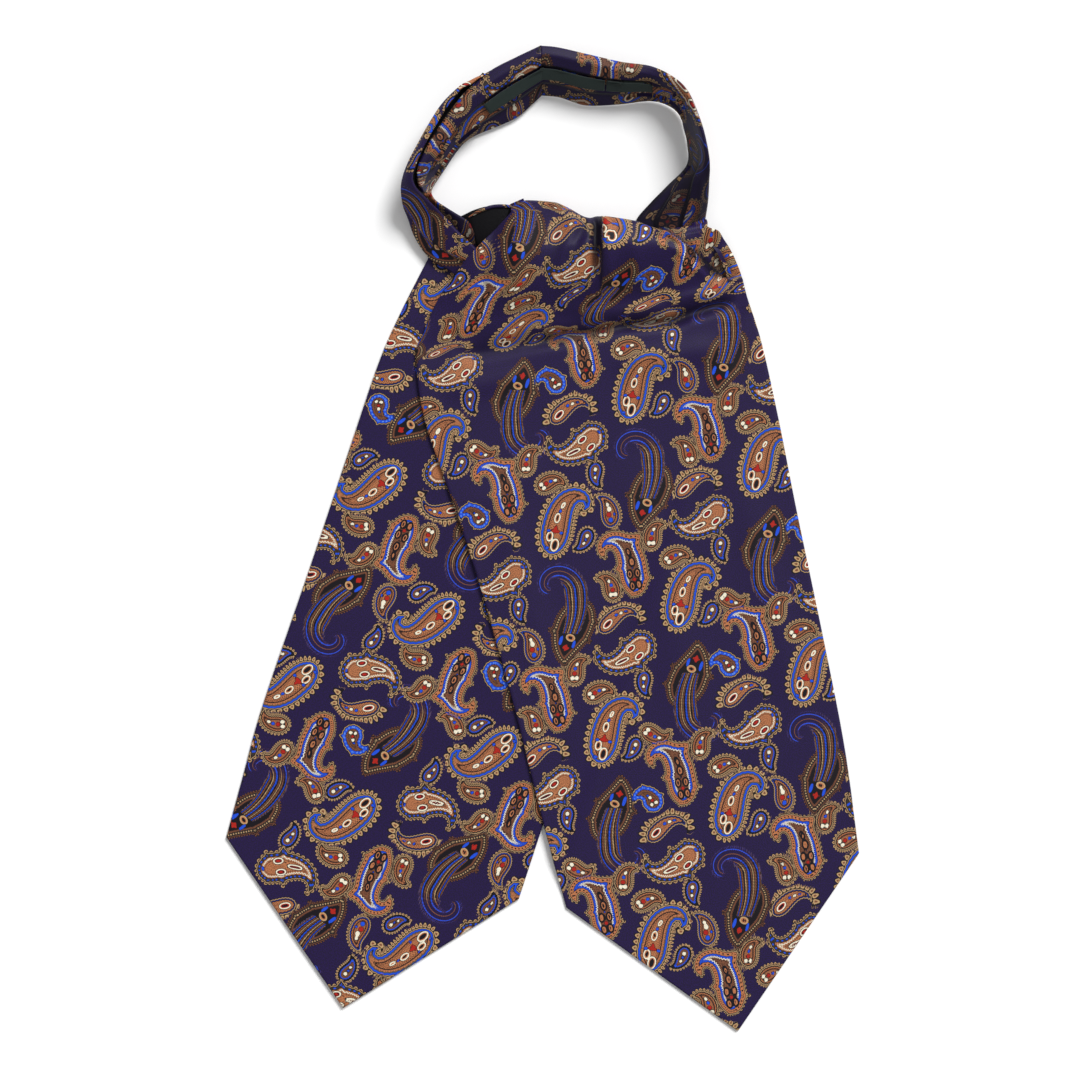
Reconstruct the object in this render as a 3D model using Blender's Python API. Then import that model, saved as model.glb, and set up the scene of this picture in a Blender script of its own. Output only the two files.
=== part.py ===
"""Silk cravat laid flat: two broad pointed blades and a pleated neckband loop.

Sizes are in millimetres in the tables and become metres when a mesh is made. +X is to the right, +Y towards
the neckband, +Z up from the table. The origin is below the middle of the whole cravat, on the table.
"""

import bmesh
import bpy
import numpy as np

# Driving dimensions, in millimetres
MM = 0.001
BLADE_WALL = 1.6
BAND_WALL = 1.8
LABEL_WALL = 1.0
LABEL_LIFT = 0.7
SEAM_GAP = 0.3
BLADE_WAVE = 0.5
OVER_BLADE = BLADE_WALL + BLADE_WAVE + SEAM_GAP
FRONT_POINT_DEPTH = 77.0
FRONT_POINT_AXIS = (0.165, -0.986)
UNDER_POINT_DEPTH = 72.0
UNDER_POINT_AXIS = (-0.207, -0.978)
POINT_STATIONS = 2.4
TURN_WALL = 1.62
BACK_PLEAT_WALL = 1.4
LINING_WALL = 1.2
EDGE_MARGIN = 8.0
SOFT_EDGE = 14.0

# Front blade: one row for each station from the two corners up to the fold at its top.
# Columns: left edge x, y, right edge x, y, then the rise of the cloth at five places across.
FRONT_ROWS = (
    (12.3, -186.4, 159.8, -159.0, 0.0, 0.0, 0.0, 0.0, 0.0),
    (0.3, -141.7, 152.6, -106.8, 0.0, 0.0, 0.0, 0.0, 0.0),
    (-14.0, -84.4, 141.9, -52.1, 0.0, 0.0, 0.0, 0.0, 0.0),
    (-31.5, -22.6, 127.9, 14.9, 0.0, 0.0, 0.0, 0.0, 0.0),
    (-46.4, 22.9, 119.3, 58.5, 0.0, 0.0, 0.0, 0.0, 0.0),
    (-59.8, 62.9, 110.6, 98.0, 0.3, 0.6, 1.0, 0.8, 0.0),
    (-63.4, 93.2, 103.0, 122.7, 0.5, 1.5, 2.5, 2.0, 0.0),
    (-59.8, 104.3, 99.7, 134.8, 0.5, 5.0, 7.0, 5.0, 0.5),
    (-53.4, 119.9, 95.2, 145.1, 1.0, 10.0, 13.0, 10.0, 3.0),
    (-42.3, 136.0, 91.1, 151.2, 4.8, 13.0, 15.5, 12.5, 5.0),
    (-32.7, 148.5, 87.5, 156.7, 7.4, 13.5, 15.5, 12.0, 7.0),
    (-15.7, 168.1, 83.9, 161.1, 8.5, 12.5, 14.0, 11.0, 8.0),
)
RISE_ACROSS = (0.0, 0.25, 0.5, 0.75, 1.0)

# Fold line at the top of the front blade: place across and how far it stands above the straight line.
TOP_FOLD = (
    (0.00, 0.0),
    (0.08, 3.7),
    (0.15, 3.9),
    (0.22, 3.7),
    (0.28, 1.9),
    (0.40, -2.8),
    (0.44, -1.6),
    (0.63, -2.7),
    (0.71, -4.8),
    (0.78, -6.0),
    (0.86, -4.0),
    (0.96, -1.5),
    (1.00, 0.0),
)
# Stations below the fold over which its line is eased in
TOP_EASE_STATIONS = 1.6
# Roll of the cloth over that fold: place across, radius and length of the part turned back.
TOP_ROLL = (
    (0.00, 3.0, 6.0),
    (0.25, 5.5, 10.0),
    (0.50, 6.0, 10.0),
    (0.75, 3.6, 5.0),
    (1.00, 2.7, 3.0),
)
# Raised pleat in the middle: its left edge, and its right edge that runs down over the shoulder.
PLEAT_LEFT_X = 29.5
PLEAT_RIGHT_LINE = (
    (40.0, 166.0),
    (53.4, 159.2),
    (62.0, 156.1),
    (68.6, 151.3),
    (74.8, 146.5),
    (80.9, 141.1),
    (90.6, 132.6),
)
PLEAT_RISE = 2.6
PLEAT_EDGE = 3.0
PLEAT_TOP_Y = 150.0
PLEAT_FADE_Y = 112.0

# Under blade: left edge x, y and right edge x, y from the corners up to where the front blade hides it.
UNDER_ROWS = (
    (-159.8, -150.9, -12.5, -181.9),
    (-151.5, -121.0, 5.2, -127.6),
    (-141.3, -84.5, 17.0, -92.0),
    (-117.0, -13.5, 37.5, -28.0),
    (-97.5, 44.8, 54.5, 24.0),
    (-82.5, 89.0, 66.5, 61.0),
    (-71.7, 113.9, 74.0, 85.0),
    (-55.6, 145.7, 79.0, 108.0),
)
# Soft waves of the under blade: x and y of the first wave, y and x of the second
WAVE_LENGTHS = (31.0, 57.0, 43.0, 71.0)
# Hidden right edge of the under blade, over which the front blade steps down to the table.
UNDER_EDGE_LOW = (0.5, -142.3)
UNDER_EDGE_HIGH = (81.2, 108.7)

# Neckband, left half, inner face: outer edge x, y, z and inner edge x, y from the turn to the seam.
LEFT_ROWS = (
    (-60.0, 175.0, 13.0, -55.9, 173.0),
    (-62.0, 180.0, 17.5, -55.6, 177.5),
    (-62.3, 187.0, 19.5, -50.5, 185.5),
    (-58.0, 197.0, 20.0, -43.0, 196.5),
    (-53.0, 205.5, 19.5, -37.9, 201.8),
    (-46.0, 216.0, 18.5, -31.3, 205.3),
    (-38.0, 226.0, 17.5, -22.2, 208.8),
    (-26.0, 236.0, 17.0, -12.5, 213.4),
    (-14.0, 242.3, 17.0, -5.4, 219.5),
    (-1.9, 248.4, 17.0, -1.2, 224.3),
)
# Neckband, right half, inner face: from the seam to the fanned pleats under the front blade.
RIGHT_ROWS = (
    (-0.3, 248.8, 17.0, 0.5, 224.8),
    (7.7, 247.5, 17.0, 8.5, 223.3),
    (23.8, 243.8, 17.0, 21.5, 219.3),
    (39.3, 240.1, 18.0, 38.0, 219.7),
    (54.4, 237.6, 19.0, 54.4, 221.5),
    (65.5, 231.7, 21.0, 64.0, 219.0),
    (71.8, 225.0, 23.0, 69.4, 214.0),
    (76.8, 213.0, 24.5, 71.3, 207.3),
    (80.2, 202.0, 25.0, 72.9, 200.0),
    (83.2, 188.0, 22.0, 72.5, 189.5),
    (83.8, 178.5, 16.0, 62.5, 179.0),
    (83.6, 169.6, 10.0, 53.5, 170.0),
    (82.6, 162.0, 5.6, 47.2, 162.0),
    (81.5, 155.0, 4.6, 47.0, 155.5),
)
BAND_LOW_Z = 2.0
# Pleats along the band: place across and step towards the viewer.
BAND_PLEATS = ((0.34, 1.1), (0.68, 1.1))
BAND_PLEAT_WIDTH = 0.08
BAND_CROWN = 1.2
BAND_EDGE_START = 0.86
# The wall thins towards the outer edge: its share there, and how far across the thinning reaches.
BAND_EDGE_WALL = 0.35
BAND_EDGE_REACH = 0.12
# The pleats flatten where the band is seen nearly on edge: plan widths where they are gone and full.
BAND_NARROW = 4.0
BAND_BROAD = 20.0

# Neckband turn, outer face up: outer edge x, y, z and inner edge x, y, z from the top strip to the crossing.
TURN_ROWS = (
    (-42.0, 228.3, 17.5, -40.3, 226.6, 19.5),
    (-51.0, 219.3, 18.5, -48.2, 217.2, 21.5),
    (-58.0, 208.5, 19.0, -54.6, 206.7, 22.5),
    (-63.0, 199.5, 19.0, -59.6, 198.2, 22.8),
    (-68.0, 190.0, 18.5, -63.6, 189.4, 22.8),
    (-71.0, 182.0, 17.5, -65.6, 181.8, 22.0),
    (-71.9, 175.5, 15.0, -63.5, 175.8, 20.5),
    (-71.0, 168.1, 11.5, -57.0, 169.6, 17.0),
    (-68.4, 161.5, 8.0, -51.1, 164.0, 12.8),
    (-65.6, 153.6, 5.6, -47.5, 160.5, 11.0),
    (-60.6, 145.4, 4.3, -43.8, 156.6, 10.0),
    (-55.4, 140.2, 4.2, -39.0, 152.0, 9.2),
    (-48.0, 136.0, 4.2, -34.4, 147.7, 8.6),
    (-42.0, 131.5, 4.2, -30.0, 142.5, 7.6),
    (-37.0, 127.5, 4.2, -26.5, 137.5, 7.0),
)
TURN_PLEAT_START = 0.05
TURN_PLEAT_END = 0.50
TURN_PLEAT_STEP = 0.9
TURN_PLEAT_WIDTH = 0.14
TURN_PLEAT_FROM_STATION = 6.0
TURN_PLEAT_STATIONS = 7.0
TURN_CROWN = 0.7

# Pleat behind the turn: upper edge x, y, z and lower edge x, y, z.
BACK_PLEAT_ROWS = (
    (-54.6, 170.6, 12.5, -56.0, 168.8, 9.5),
    (-48.7, 166.9, 11.0, -51.5, 163.2, 6.0),
    (-43.7, 164.0, 10.0, -46.5, 158.5, 5.0),
    (-37.9, 160.6, 8.8, -41.5, 154.0, 5.6),
    (-34.3, 155.0, 7.4, -36.5, 149.0, 5.0),
    (-31.6, 150.0, 6.0, -32.5, 144.5, 4.4),
)
# Dark lining of the turned back of the front blade: upper edge x, y, z and lower edge x, y, z.
LINING_ROWS = (
    (-36.9, 161.2, 8.8, -30.9, 149.6, 5.8),
    (-30.6, 164.6, 9.0, -28.0, 147.5, 6.4),
    (-24.1, 166.6, 8.8, -23.0, 147.5, 7.0),
    (-16.6, 166.6, 8.4, -18.0, 148.5, 7.4),
)
EDGE_ROLL_RADIUS = 0.9
EDGE_ROLL_OFFSET = (-0.5, 1.5, 0.4)

# Labels on the band: which half, then start and end along the half and across it.
MAIN_LABEL_ACROSS = (0.40, 0.64)
MAIN_LABEL_LEFT_START = (-31.0, 220.0)
MAIN_LABEL_RIGHT_END = (31.5, 230.0)
CARE_TAG_ACROSS = (0.40, 0.66)
CARE_TAG_START = (32.2, 230.0)
CARE_TAG_END = (55.1, 226.0)
LABEL_SEAM_INSET = 0.05

# Hidden layers at the crossing: their share of the front blade's length and width, and the table clearance.
CROSSING_ROWS_FROM = 7.5
CROSSING_ROWS_TO = 9.15
CROSSING_ACROSS = (0.20, 0.93)
CROSSING_CLEARANCE = 0.8
CROSSING_SIDE_ROUNDING = 0.6
CROSSING_END_ROUNDING = 0.55
CROSSING_ROUNDING_POWER = 6

# Numbers of cells and rows in each wall
FRONT_COLUMNS = 30
FRONT_FLAT_UP_TO = 4.5
FRONT_FLAT_ROWS = 13
FRONT_RAISED_ROWS = 24
ROLL_ROWS = 8
UNDER_COLUMNS = 14
UNDER_ROW_COUNT = 22
BAND_COLUMNS = 10
BAND_ROWS_PER_STATION = 2.6
TURN_COLUMNS = 8
TURN_ROW_COUNT = 36
BACK_PLEAT_COLUMNS = 4
BACK_PLEAT_ROW_COUNT = 12
LINING_COLUMNS = 6
LINING_ROW_COUNT = 9
EDGE_ROLL_SIDES = 8
LABEL_COLUMNS = 4
LABEL_ROW_COUNT = 9
LABEL_FINE_COLUMNS = 40
NEAREST_SAMPLES = 600
CROSSING_COLUMNS = 16
CROSSING_ROW_COUNT = 9

# Colours of the cloths, as linear red, green, blue, and roughness
SILK_FRONT = ((0.045, 0.025, 0.085), 0.45)
SILK_UNDER = ((0.040, 0.022, 0.078), 0.45)
SILK_BAND = ((0.050, 0.028, 0.092), 0.45)
SILK_SHADE = ((0.030, 0.017, 0.060), 0.50)
LINING_DARK = ((0.006, 0.005, 0.012), 0.35)
LABEL_GREEN = ((0.009, 0.022, 0.018), 0.60)


def remove_objects():
    """Empties the scene."""
    for item in list(bpy.data.objects):
        bpy.data.objects.remove(item, do_unlink=True)


def cloth_material(name, colour, roughness):
    """Returns a plain Principled material."""
    material = bpy.data.materials.new(name)
    material.use_nodes = True
    shader = material.node_tree.nodes["Principled BSDF"]
    shader.inputs["Base Color"].default_value = (*colour, 1.0)
    shader.inputs["Roughness"].default_value = roughness
    shader.inputs["Metallic"].default_value = 0.0
    return material


def smooth_step(value):
    """Runs from 0 to 1 with level ends while value goes from 0 to 1."""
    share = np.clip(value, 0.0, 1.0)
    return share * share * (3.0 - 2.0 * share)


def curve_through(knots, values, at, level=False):
    """Cubic curve through the rows of a table.

    Each slope is the mean of the chords beside its knot. With level set, a slope is cut where the chords
    change sign, so that the curve doesn't overshoot its rows.
    """
    knots = np.asarray(knots, dtype=float)
    values = np.asarray(values, dtype=float).reshape(len(knots), -1)
    at = np.clip(np.asarray(at, dtype=float), knots[0], knots[-1])
    steps = np.diff(knots)[:, None]
    chords = np.diff(values, axis=0) / steps
    slopes = np.vstack([chords[:1], (chords[1:] + chords[:-1]) / 2.0, chords[-1:]])
    if level:
        turns = chords[1:] * chords[:-1] <= 0.0
        slopes[1:-1][turns] = 0.0
        limit = 2.0 * np.minimum(np.abs(chords[1:]), np.abs(chords[:-1]))
        slopes[1:-1] = np.clip(slopes[1:-1], -limit, limit)
    cell = np.clip(np.searchsorted(knots, at, side="right") - 1, 0, len(knots) - 2)
    width = steps[cell]
    share = (at[:, None] - knots[cell][:, None]) / width
    start, end = values[cell], values[cell + 1]
    bow_start = width * slopes[cell]
    bow_end = width * slopes[cell + 1]
    square, cube = share**2, share**3
    return (
        (2 * cube - 3 * square + 1) * start
        + (cube - 2 * square + share) * bow_start
        + (3 * square - 2 * cube) * end
        + (cube - square) * bow_end
    )


def rows_between(table, at):
    """Returns the table's columns at the row numbers in at, read from smooth curves."""
    return curve_through(np.arange(len(table)), table, at)


def surface_normals(grid):
    """Unit normals of a grid of points, across times along."""
    along, across = np.gradient(grid, axis=0), np.gradient(grid, axis=1)
    normals = np.cross(across, along)
    length = np.linalg.norm(normals, axis=2, keepdims=True)
    return normals / np.maximum(length, 1e-9)


def wall_mesh(name, face, back, material):
    """Makes one closed wall between two grids of the same shape, and returns its object."""
    rows, columns = face.shape[:2]
    count = rows * columns
    points = np.vstack([face.reshape(-1, 3), back.reshape(-1, 3)]) * MM
    number = np.arange(count).reshape(rows, columns)
    cells = np.stack([number[:-1, :-1], number[:-1, 1:], number[1:, 1:], number[1:, :-1]], axis=-1)
    front_cells = cells.reshape(-1, 4)
    back_cells = front_cells[:, ::-1] + count
    ring = np.concatenate([number[0, :-1], number[:-1, -1], number[-1, :0:-1], number[:0:-1, 0]])
    after = np.roll(ring, -1)
    rim = np.stack([ring, ring + count, after + count, after], axis=-1)
    mesh = bpy.data.meshes.new(name)
    mesh.from_pydata(points.tolist(), [], np.vstack([front_cells, back_cells, rim]).tolist())
    work = bmesh.new()
    work.from_mesh(mesh)
    bmesh.ops.recalc_face_normals(work, faces=work.faces)
    work.to_mesh(mesh)
    work.free()
    mesh.shade_smooth()
    mesh.materials.append(material)
    item = bpy.data.objects.new(name, mesh)
    bpy.context.scene.collection.objects.link(item)
    return item


def wall_under(face, thickness):
    """Returns the underside of a laid sheet: its points moved in by the wall, never below the table."""
    back = face - surface_normals(face) * thickness
    back[..., 2] = np.maximum(back[..., 2], 0.0)
    return back


def height_over_under_blade(x, y):
    """Height that the front blade keeps over the under blade, falling to the table beyond its edge."""
    low, high = np.array(UNDER_EDGE_LOW), np.array(UNDER_EDGE_HIGH)
    direction = (high - low) / np.linalg.norm(high - low)
    beyond = (x - low[0]) * direction[1] - (y - low[1]) * direction[0]
    return OVER_BLADE * smooth_step(1.0 - (beyond - EDGE_MARGIN) / SOFT_EDGE)


def middle_pleat_rise(x, y):
    """Rise of the middle pleat between its left edge and the line over the right shoulder."""
    line = np.array(PLEAT_RIGHT_LINE)
    fold_y = np.interp(x, line[:, 0], line[:, 1])
    right_of_left_edge = smooth_step((x - PLEAT_LEFT_X) / PLEAT_EDGE + 0.5)
    below_right_edge = smooth_step((fold_y - y) / PLEAT_EDGE + 0.5)
    fade = smooth_step((y - PLEAT_FADE_Y) / (PLEAT_TOP_Y - PLEAT_FADE_Y))
    return PLEAT_RISE * right_of_left_edge * below_right_edge * fade


def pointed_plan(rows, row_numbers, across, point_depth, point_axis):
    """Plan of a blade between its two edges, drawn out to its point over the first stations."""
    share = across[None, :, None]
    plan = rows[:, None, 0:2] * (1.0 - share) + rows[:, None, 2:4] * share
    depth = point_depth * np.clip(1.0 - row_numbers / POINT_STATIONS, 0.0, 1.0)
    peak = 1.0 - np.abs(2.0 * across - 1.0)
    return plan + depth[:, None, None] * peak[None, :, None] * np.array(point_axis)


def laid_front_blade(row_numbers, across):
    """Upper face of the front blade from its point up to where the roll over the top begins."""
    rows = rows_between(FRONT_ROWS, row_numbers)
    plan = pointed_plan(rows, row_numbers, across, FRONT_POINT_DEPTH, FRONT_POINT_AXIS)
    top = len(FRONT_ROWS) - 1
    fold = np.array(TOP_FOLD)
    roll = np.array(TOP_ROLL)
    scallop = curve_through(fold[:, 0], fold[:, 1], across, level=True)[:, 0]
    radius = curve_through(roll[:, 0], roll[:, 1], across)[:, 0]
    near_top = smooth_step((row_numbers - (top - TOP_EASE_STATIONS)) / TOP_EASE_STATIONS)
    plan[..., 1] += near_top[:, None] * (scallop - radius)[None, :]
    rise_rows = np.stack([curve_through(RISE_ACROSS, row, across, level=True)[:, 0] for row in rows[:, 4:9]])
    x, y = plan[..., 0], plan[..., 1]
    height = BLADE_WALL + height_over_under_blade(x, y) + np.maximum(rise_rows, 0.0)
    height += middle_pleat_rise(x, y)
    return np.dstack([x, y, height])


def front_blade_face():
    """Upper face of the front blade, with its roll over the top fold and the part turned back."""
    across = np.linspace(0.0, 1.0, FRONT_COLUMNS + 1)
    top = len(FRONT_ROWS) - 1
    flat = np.linspace(0.0, FRONT_FLAT_UP_TO, FRONT_FLAT_ROWS)[:-1]
    raised = np.linspace(FRONT_FLAT_UP_TO, top, FRONT_RAISED_ROWS)
    numbers = np.concatenate([flat, raised])
    laid = laid_front_blade(numbers, across)
    start = laid[-1]
    roll = np.array(TOP_ROLL)
    radius = curve_through(roll[:, 0], roll[:, 1], across)[:, 0]
    turned = curve_through(roll[:, 0], roll[:, 2], across)[:, 0]
    rows = [laid]
    for angle in np.linspace(0.0, np.pi, ROLL_ROWS)[1:]:
        ring = start.copy()
        ring[:, 1] += radius * np.sin(angle)
        ring[:, 2] -= radius * (1.0 - np.cos(angle))
        rows.append(ring[None])
    for share in (0.5, 1.0):
        ring = start.copy()
        ring[:, 1] -= turned * share
        ring[:, 2] -= 2.0 * radius
        rows.append(ring[None])
    return np.vstack(rows)


def make_front_blade():
    """The blade on top: laid over the under blade, bulged, pleated and rolled over at the top."""
    face = front_blade_face()
    material = cloth_material("silk_front", *SILK_FRONT)
    wall_mesh("front_blade", face, wall_under(face, BLADE_WALL), material)


def make_under_blade():
    """The blade below: flat on the table, with soft waves on its upper face."""
    across = np.linspace(0.0, 1.0, UNDER_COLUMNS + 1)
    numbers = np.linspace(0.0, len(UNDER_ROWS) - 1, UNDER_ROW_COUNT)
    rows = rows_between(UNDER_ROWS, numbers)
    plan = pointed_plan(rows, numbers, across, UNDER_POINT_DEPTH, UNDER_POINT_AXIS)
    x, y = plan[..., 0], plan[..., 1]
    first_x, first_y, second_y, second_x = WAVE_LENGTHS
    wave = 0.5 + 0.5 * np.sin(x / first_x + y / first_y) * np.cos(y / second_y - x / second_x)
    face = np.dstack([x, y, BLADE_WALL + BLADE_WAVE * wave])
    back = np.dstack([x, y, np.zeros_like(x)])
    wall_mesh("under_blade", face, back, cloth_material("silk_under", *SILK_UNDER))


def upward_normals(face):
    """Unit normals of a face, turned away from the table."""
    normals = surface_normals(face)
    return normals * np.sign(normals[..., 2:3] + 1e-9)


def band_face(table, numbers, across):
    """Inner face of the neckband between its low inner edge and its high outer edge, with its pleats."""
    rows = rows_between(table, numbers)
    high = rows[:, None, 0:3]
    low = np.concatenate([rows[:, 3:5], np.full((len(rows), 1), BAND_LOW_Z)], axis=1)[:, None]
    share = across[None, :, None]
    face = low * (1.0 - share) + high * share
    normals = upward_normals(face)
    relief = BAND_CROWN * np.sin(np.pi * across)
    for place, size in BAND_PLEATS:
        relief += size * smooth_step((across - place) / BAND_PLEAT_WIDTH + 0.5)
    total = sum(size for _, size in BAND_PLEATS)
    relief -= total * smooth_step((across - BAND_EDGE_START) / (1.0 - BAND_EDGE_START))
    width = np.linalg.norm(rows[:, 0:2] - rows[:, 3:5], axis=1)
    strength = smooth_step((width - BAND_NARROW) / (BAND_BROAD - BAND_NARROW))
    return face + normals * relief[None, :, None] * strength[:, None, None]


def band_wall(name, table, material):
    """Makes one half of the neckband as a closed wall."""
    last = len(table) - 1.0
    across = np.linspace(0.0, 1.0, BAND_COLUMNS + 1)
    numbers = np.linspace(0.0, last, int(round(last * BAND_ROWS_PER_STATION)) + 1)
    face = band_face(table, numbers, across)
    normals = upward_normals(face)
    edge = BAND_EDGE_WALL + (1.0 - BAND_EDGE_WALL) * smooth_step((1.0 - across) / BAND_EDGE_REACH)
    back = face - normals * (BAND_WALL * edge)[None, :, None]
    back[..., 2] = np.maximum(back[..., 2], 0.0)
    return wall_mesh(name, face, back, material)


def edge_walled_strip(name, table, thickness, columns, material, numbers, pleat=None):
    """Makes a strip between two edges given in space as a closed wall."""
    rows = rows_between(table, numbers)
    across = np.linspace(0.0, 1.0, columns + 1)
    share = across[None, :, None]
    face = rows[:, None, 0:3] * (1.0 - share) + rows[:, None, 3:6] * share
    if pleat is not None:
        face[..., 2] += pleat(numbers, across)
    normals = upward_normals(face)
    back = face - normals * thickness
    back[..., 2] = np.maximum(back[..., 2], 0.0)
    return wall_mesh(name, face, back, material)


def turn_pleat(numbers, across):
    """Step of the lower pleat on the turn: it starts at the outer edge and runs in towards the crossing."""
    progress = smooth_step((numbers - TURN_PLEAT_FROM_STATION) / TURN_PLEAT_STATIONS)
    place = TURN_PLEAT_START + (TURN_PLEAT_END - TURN_PLEAT_START) * progress
    inside = smooth_step((across[None, :] - place[:, None]) / TURN_PLEAT_WIDTH + 0.5)
    crown = TURN_CROWN * np.sin(np.pi * across)[None, :]
    return TURN_PLEAT_STEP * inside * progress[:, None] + crown


def make_neckband():
    """The two halves of the loop, the turn with its outer face up, and the pleat behind it."""
    band = cloth_material("silk_band", *SILK_BAND)
    shade = cloth_material("silk_band_shade", *SILK_SHADE)
    band_wall("neckband_left", LEFT_ROWS, band)
    band_wall("neckband_right", RIGHT_ROWS, shade)
    numbers = np.linspace(0.0, len(TURN_ROWS) - 1.0, TURN_ROW_COUNT)
    edge_walled_strip("neckband_turn", TURN_ROWS, TURN_WALL, TURN_COLUMNS, band, numbers, turn_pleat)
    numbers = np.linspace(0.0, len(BACK_PLEAT_ROWS) - 1.0, BACK_PLEAT_ROW_COUNT)
    edge_walled_strip(
        "neckband_back_pleat", BACK_PLEAT_ROWS, BACK_PLEAT_WALL, BACK_PLEAT_COLUMNS, band, numbers
    )


def make_turned_lining():
    """Dark lining seen where the front blade turns back, and the rolled printed edge above it."""
    lining = cloth_material("lining_dark", *LINING_DARK)
    numbers = np.linspace(0.0, len(LINING_ROWS) - 1.0, LINING_ROW_COUNT)
    edge_walled_strip("turned_lining", LINING_ROWS, LINING_WALL, LINING_COLUMNS, lining, numbers)
    rows = rows_between(LINING_ROWS, numbers)
    centre = rows[:, 0:3] + np.array(EDGE_ROLL_OFFSET)
    angles = np.linspace(0.0, 2.0 * np.pi, EDGE_ROLL_SIDES + 1)[:-1]
    along = np.gradient(centre, axis=0)
    along /= np.linalg.norm(along, axis=1, keepdims=True)
    side = np.cross(along, np.array([0.0, 0.0, 1.0]))
    side /= np.linalg.norm(side, axis=1, keepdims=True)
    upward = np.cross(side, along)
    ring = (
        centre[:, None]
        + EDGE_ROLL_RADIUS * np.cos(angles)[None, :, None] * side[:, None]
        + EDGE_ROLL_RADIUS * np.sin(angles)[None, :, None] * upward[:, None]
    )
    tube_mesh("turned_edge", ring, cloth_material("silk_edge", *SILK_BAND))


def tube_mesh(name, rings, material):
    """Makes a closed tube with flat ends from rows of rings."""
    rows, sides = rings.shape[:2]
    number = np.arange(rows * sides).reshape(rows, sides)
    after = np.roll(number, -1, axis=1)
    cells = np.stack([number[:-1], after[:-1], after[1:], number[1:]], axis=-1).reshape(-1, 4)
    faces = cells.tolist() + [number[0].tolist(), number[-1, ::-1].tolist()]
    mesh = bpy.data.meshes.new(name)
    mesh.from_pydata((rings.reshape(-1, 3) * MM).tolist(), [], faces)
    work = bmesh.new()
    work.from_mesh(mesh)
    bmesh.ops.recalc_face_normals(work, faces=work.faces)
    work.to_mesh(mesh)
    work.free()
    mesh.shade_smooth()
    mesh.materials.append(material)
    item = bpy.data.objects.new(name, mesh)
    bpy.context.scene.collection.objects.link(item)
    return item


def nearest_row(table, point):
    """Row number at which the middle of the band passes nearest to a point in plan."""
    numbers = np.linspace(0.0, len(table) - 1.0, NEAREST_SAMPLES)
    rows = rows_between(table, numbers)
    middle = (rows[:, 0:2] + rows[:, 3:5]) / 2.0
    return float(numbers[np.argmin(np.linalg.norm(middle - np.array(point), axis=1))])


def label_wall(name, pieces, across_range, material):
    """Makes a label from the points of the band's inner face, moved out clear of the band's facets.

    pieces lists a table with its first and last row number; the label runs over them in order.
    """
    across = np.linspace(across_range[0], across_range[1], LABEL_COLUMNS + 1)
    faces = []
    for table, first, last in pieces:
        numbers = np.linspace(first, last, LABEL_ROW_COUNT)
        wide = np.linspace(0.0, 1.0, LABEL_FINE_COLUMNS + 1)
        whole = band_face(table, numbers, wide)
        normals = upward_normals(whole)
        lifted = whole + normals * LABEL_LIFT
        picked = [np.argmin(np.abs(wide - place)) for place in across]
        faces.append((lifted[:, picked], normals[:, picked]))
    back = np.vstack([face for face, _ in faces])
    normals = np.vstack([normal for _, normal in faces])
    return wall_mesh(name, back + normals * LABEL_WALL, back, material)


def make_labels():
    """The main label over the centre-back seam and the care tag beside it, both bare."""
    green = cloth_material("label_green", *LABEL_GREEN)
    left_start = nearest_row(LEFT_ROWS, MAIN_LABEL_LEFT_START)
    right_end = nearest_row(RIGHT_ROWS, MAIN_LABEL_RIGHT_END)
    left_end = len(LEFT_ROWS) - 1.0 - LABEL_SEAM_INSET
    pieces = ((LEFT_ROWS, left_start, left_end), (RIGHT_ROWS, LABEL_SEAM_INSET, right_end))
    label_wall("neck_label", pieces, MAIN_LABEL_ACROSS, green)
    start, end = nearest_row(RIGHT_ROWS, CARE_TAG_START), nearest_row(RIGHT_ROWS, CARE_TAG_END)
    label_wall("care_tag", ((RIGHT_ROWS, start, end),), CARE_TAG_ACROSS, green)


def make_crossing_layers():
    """Rounded solid for the folded layers hidden where the band crosses under the front blade."""
    across = np.linspace(CROSSING_ACROSS[0], CROSSING_ACROSS[1], CROSSING_COLUMNS + 1)
    numbers = np.linspace(CROSSING_ROWS_FROM, CROSSING_ROWS_TO, CROSSING_ROW_COUNT)
    roof = laid_front_blade(numbers, across)
    side_share = np.linspace(-1.0, 1.0, len(across))[None, :]
    end_share = np.linspace(-1.0, 1.0, len(numbers))[:, None]
    side_rounding = 1.0 - CROSSING_SIDE_ROUNDING * side_share**CROSSING_ROUNDING_POWER
    end_rounding = 1.0 - CROSSING_END_ROUNDING * end_share**CROSSING_ROUNDING_POWER
    rounding = side_rounding * end_rounding
    face = roof.copy()
    room = roof[..., 2] - BLADE_WALL - CROSSING_CLEARANCE - middle_pleat_rise(roof[..., 0], roof[..., 1])
    face[..., 2] = OVER_BLADE + (room - OVER_BLADE) * rounding
    back = roof.copy()
    back[..., 2] = OVER_BLADE
    wall_mesh("crossing_layers", face, back, cloth_material("silk_folded", *SILK_SHADE))


def centre_on_origin():
    """Moves every mesh so that the origin lies below the middle of the whole cravat."""
    items = [item for item in bpy.data.objects if item.type == "MESH"]
    points = []
    for item in items:
        flat = np.empty(len(item.data.vertices) * 3)
        item.data.vertices.foreach_get("co", flat)
        points.append(flat.reshape(-1, 3))
    everything = np.vstack(points)
    low, high = everything.min(axis=0), everything.max(axis=0)
    shift = np.array([(low[0] + high[0]) / 2.0, (low[1] + high[1]) / 2.0, low[2]])
    for item, own in zip(items, points):
        item.data.vertices.foreach_set("co", (own - shift).ravel())
        item.data.update()
    print("cravat size in mm", np.round((high - low) / MM, 2), "shift", np.round(shift / MM, 3))


def main():
    """Builds the cravat."""
    remove_objects()
    make_under_blade()
    make_front_blade()
    make_neckband()
    make_turned_lining()
    make_labels()
    make_crossing_layers()
    centre_on_origin()


main()
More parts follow.
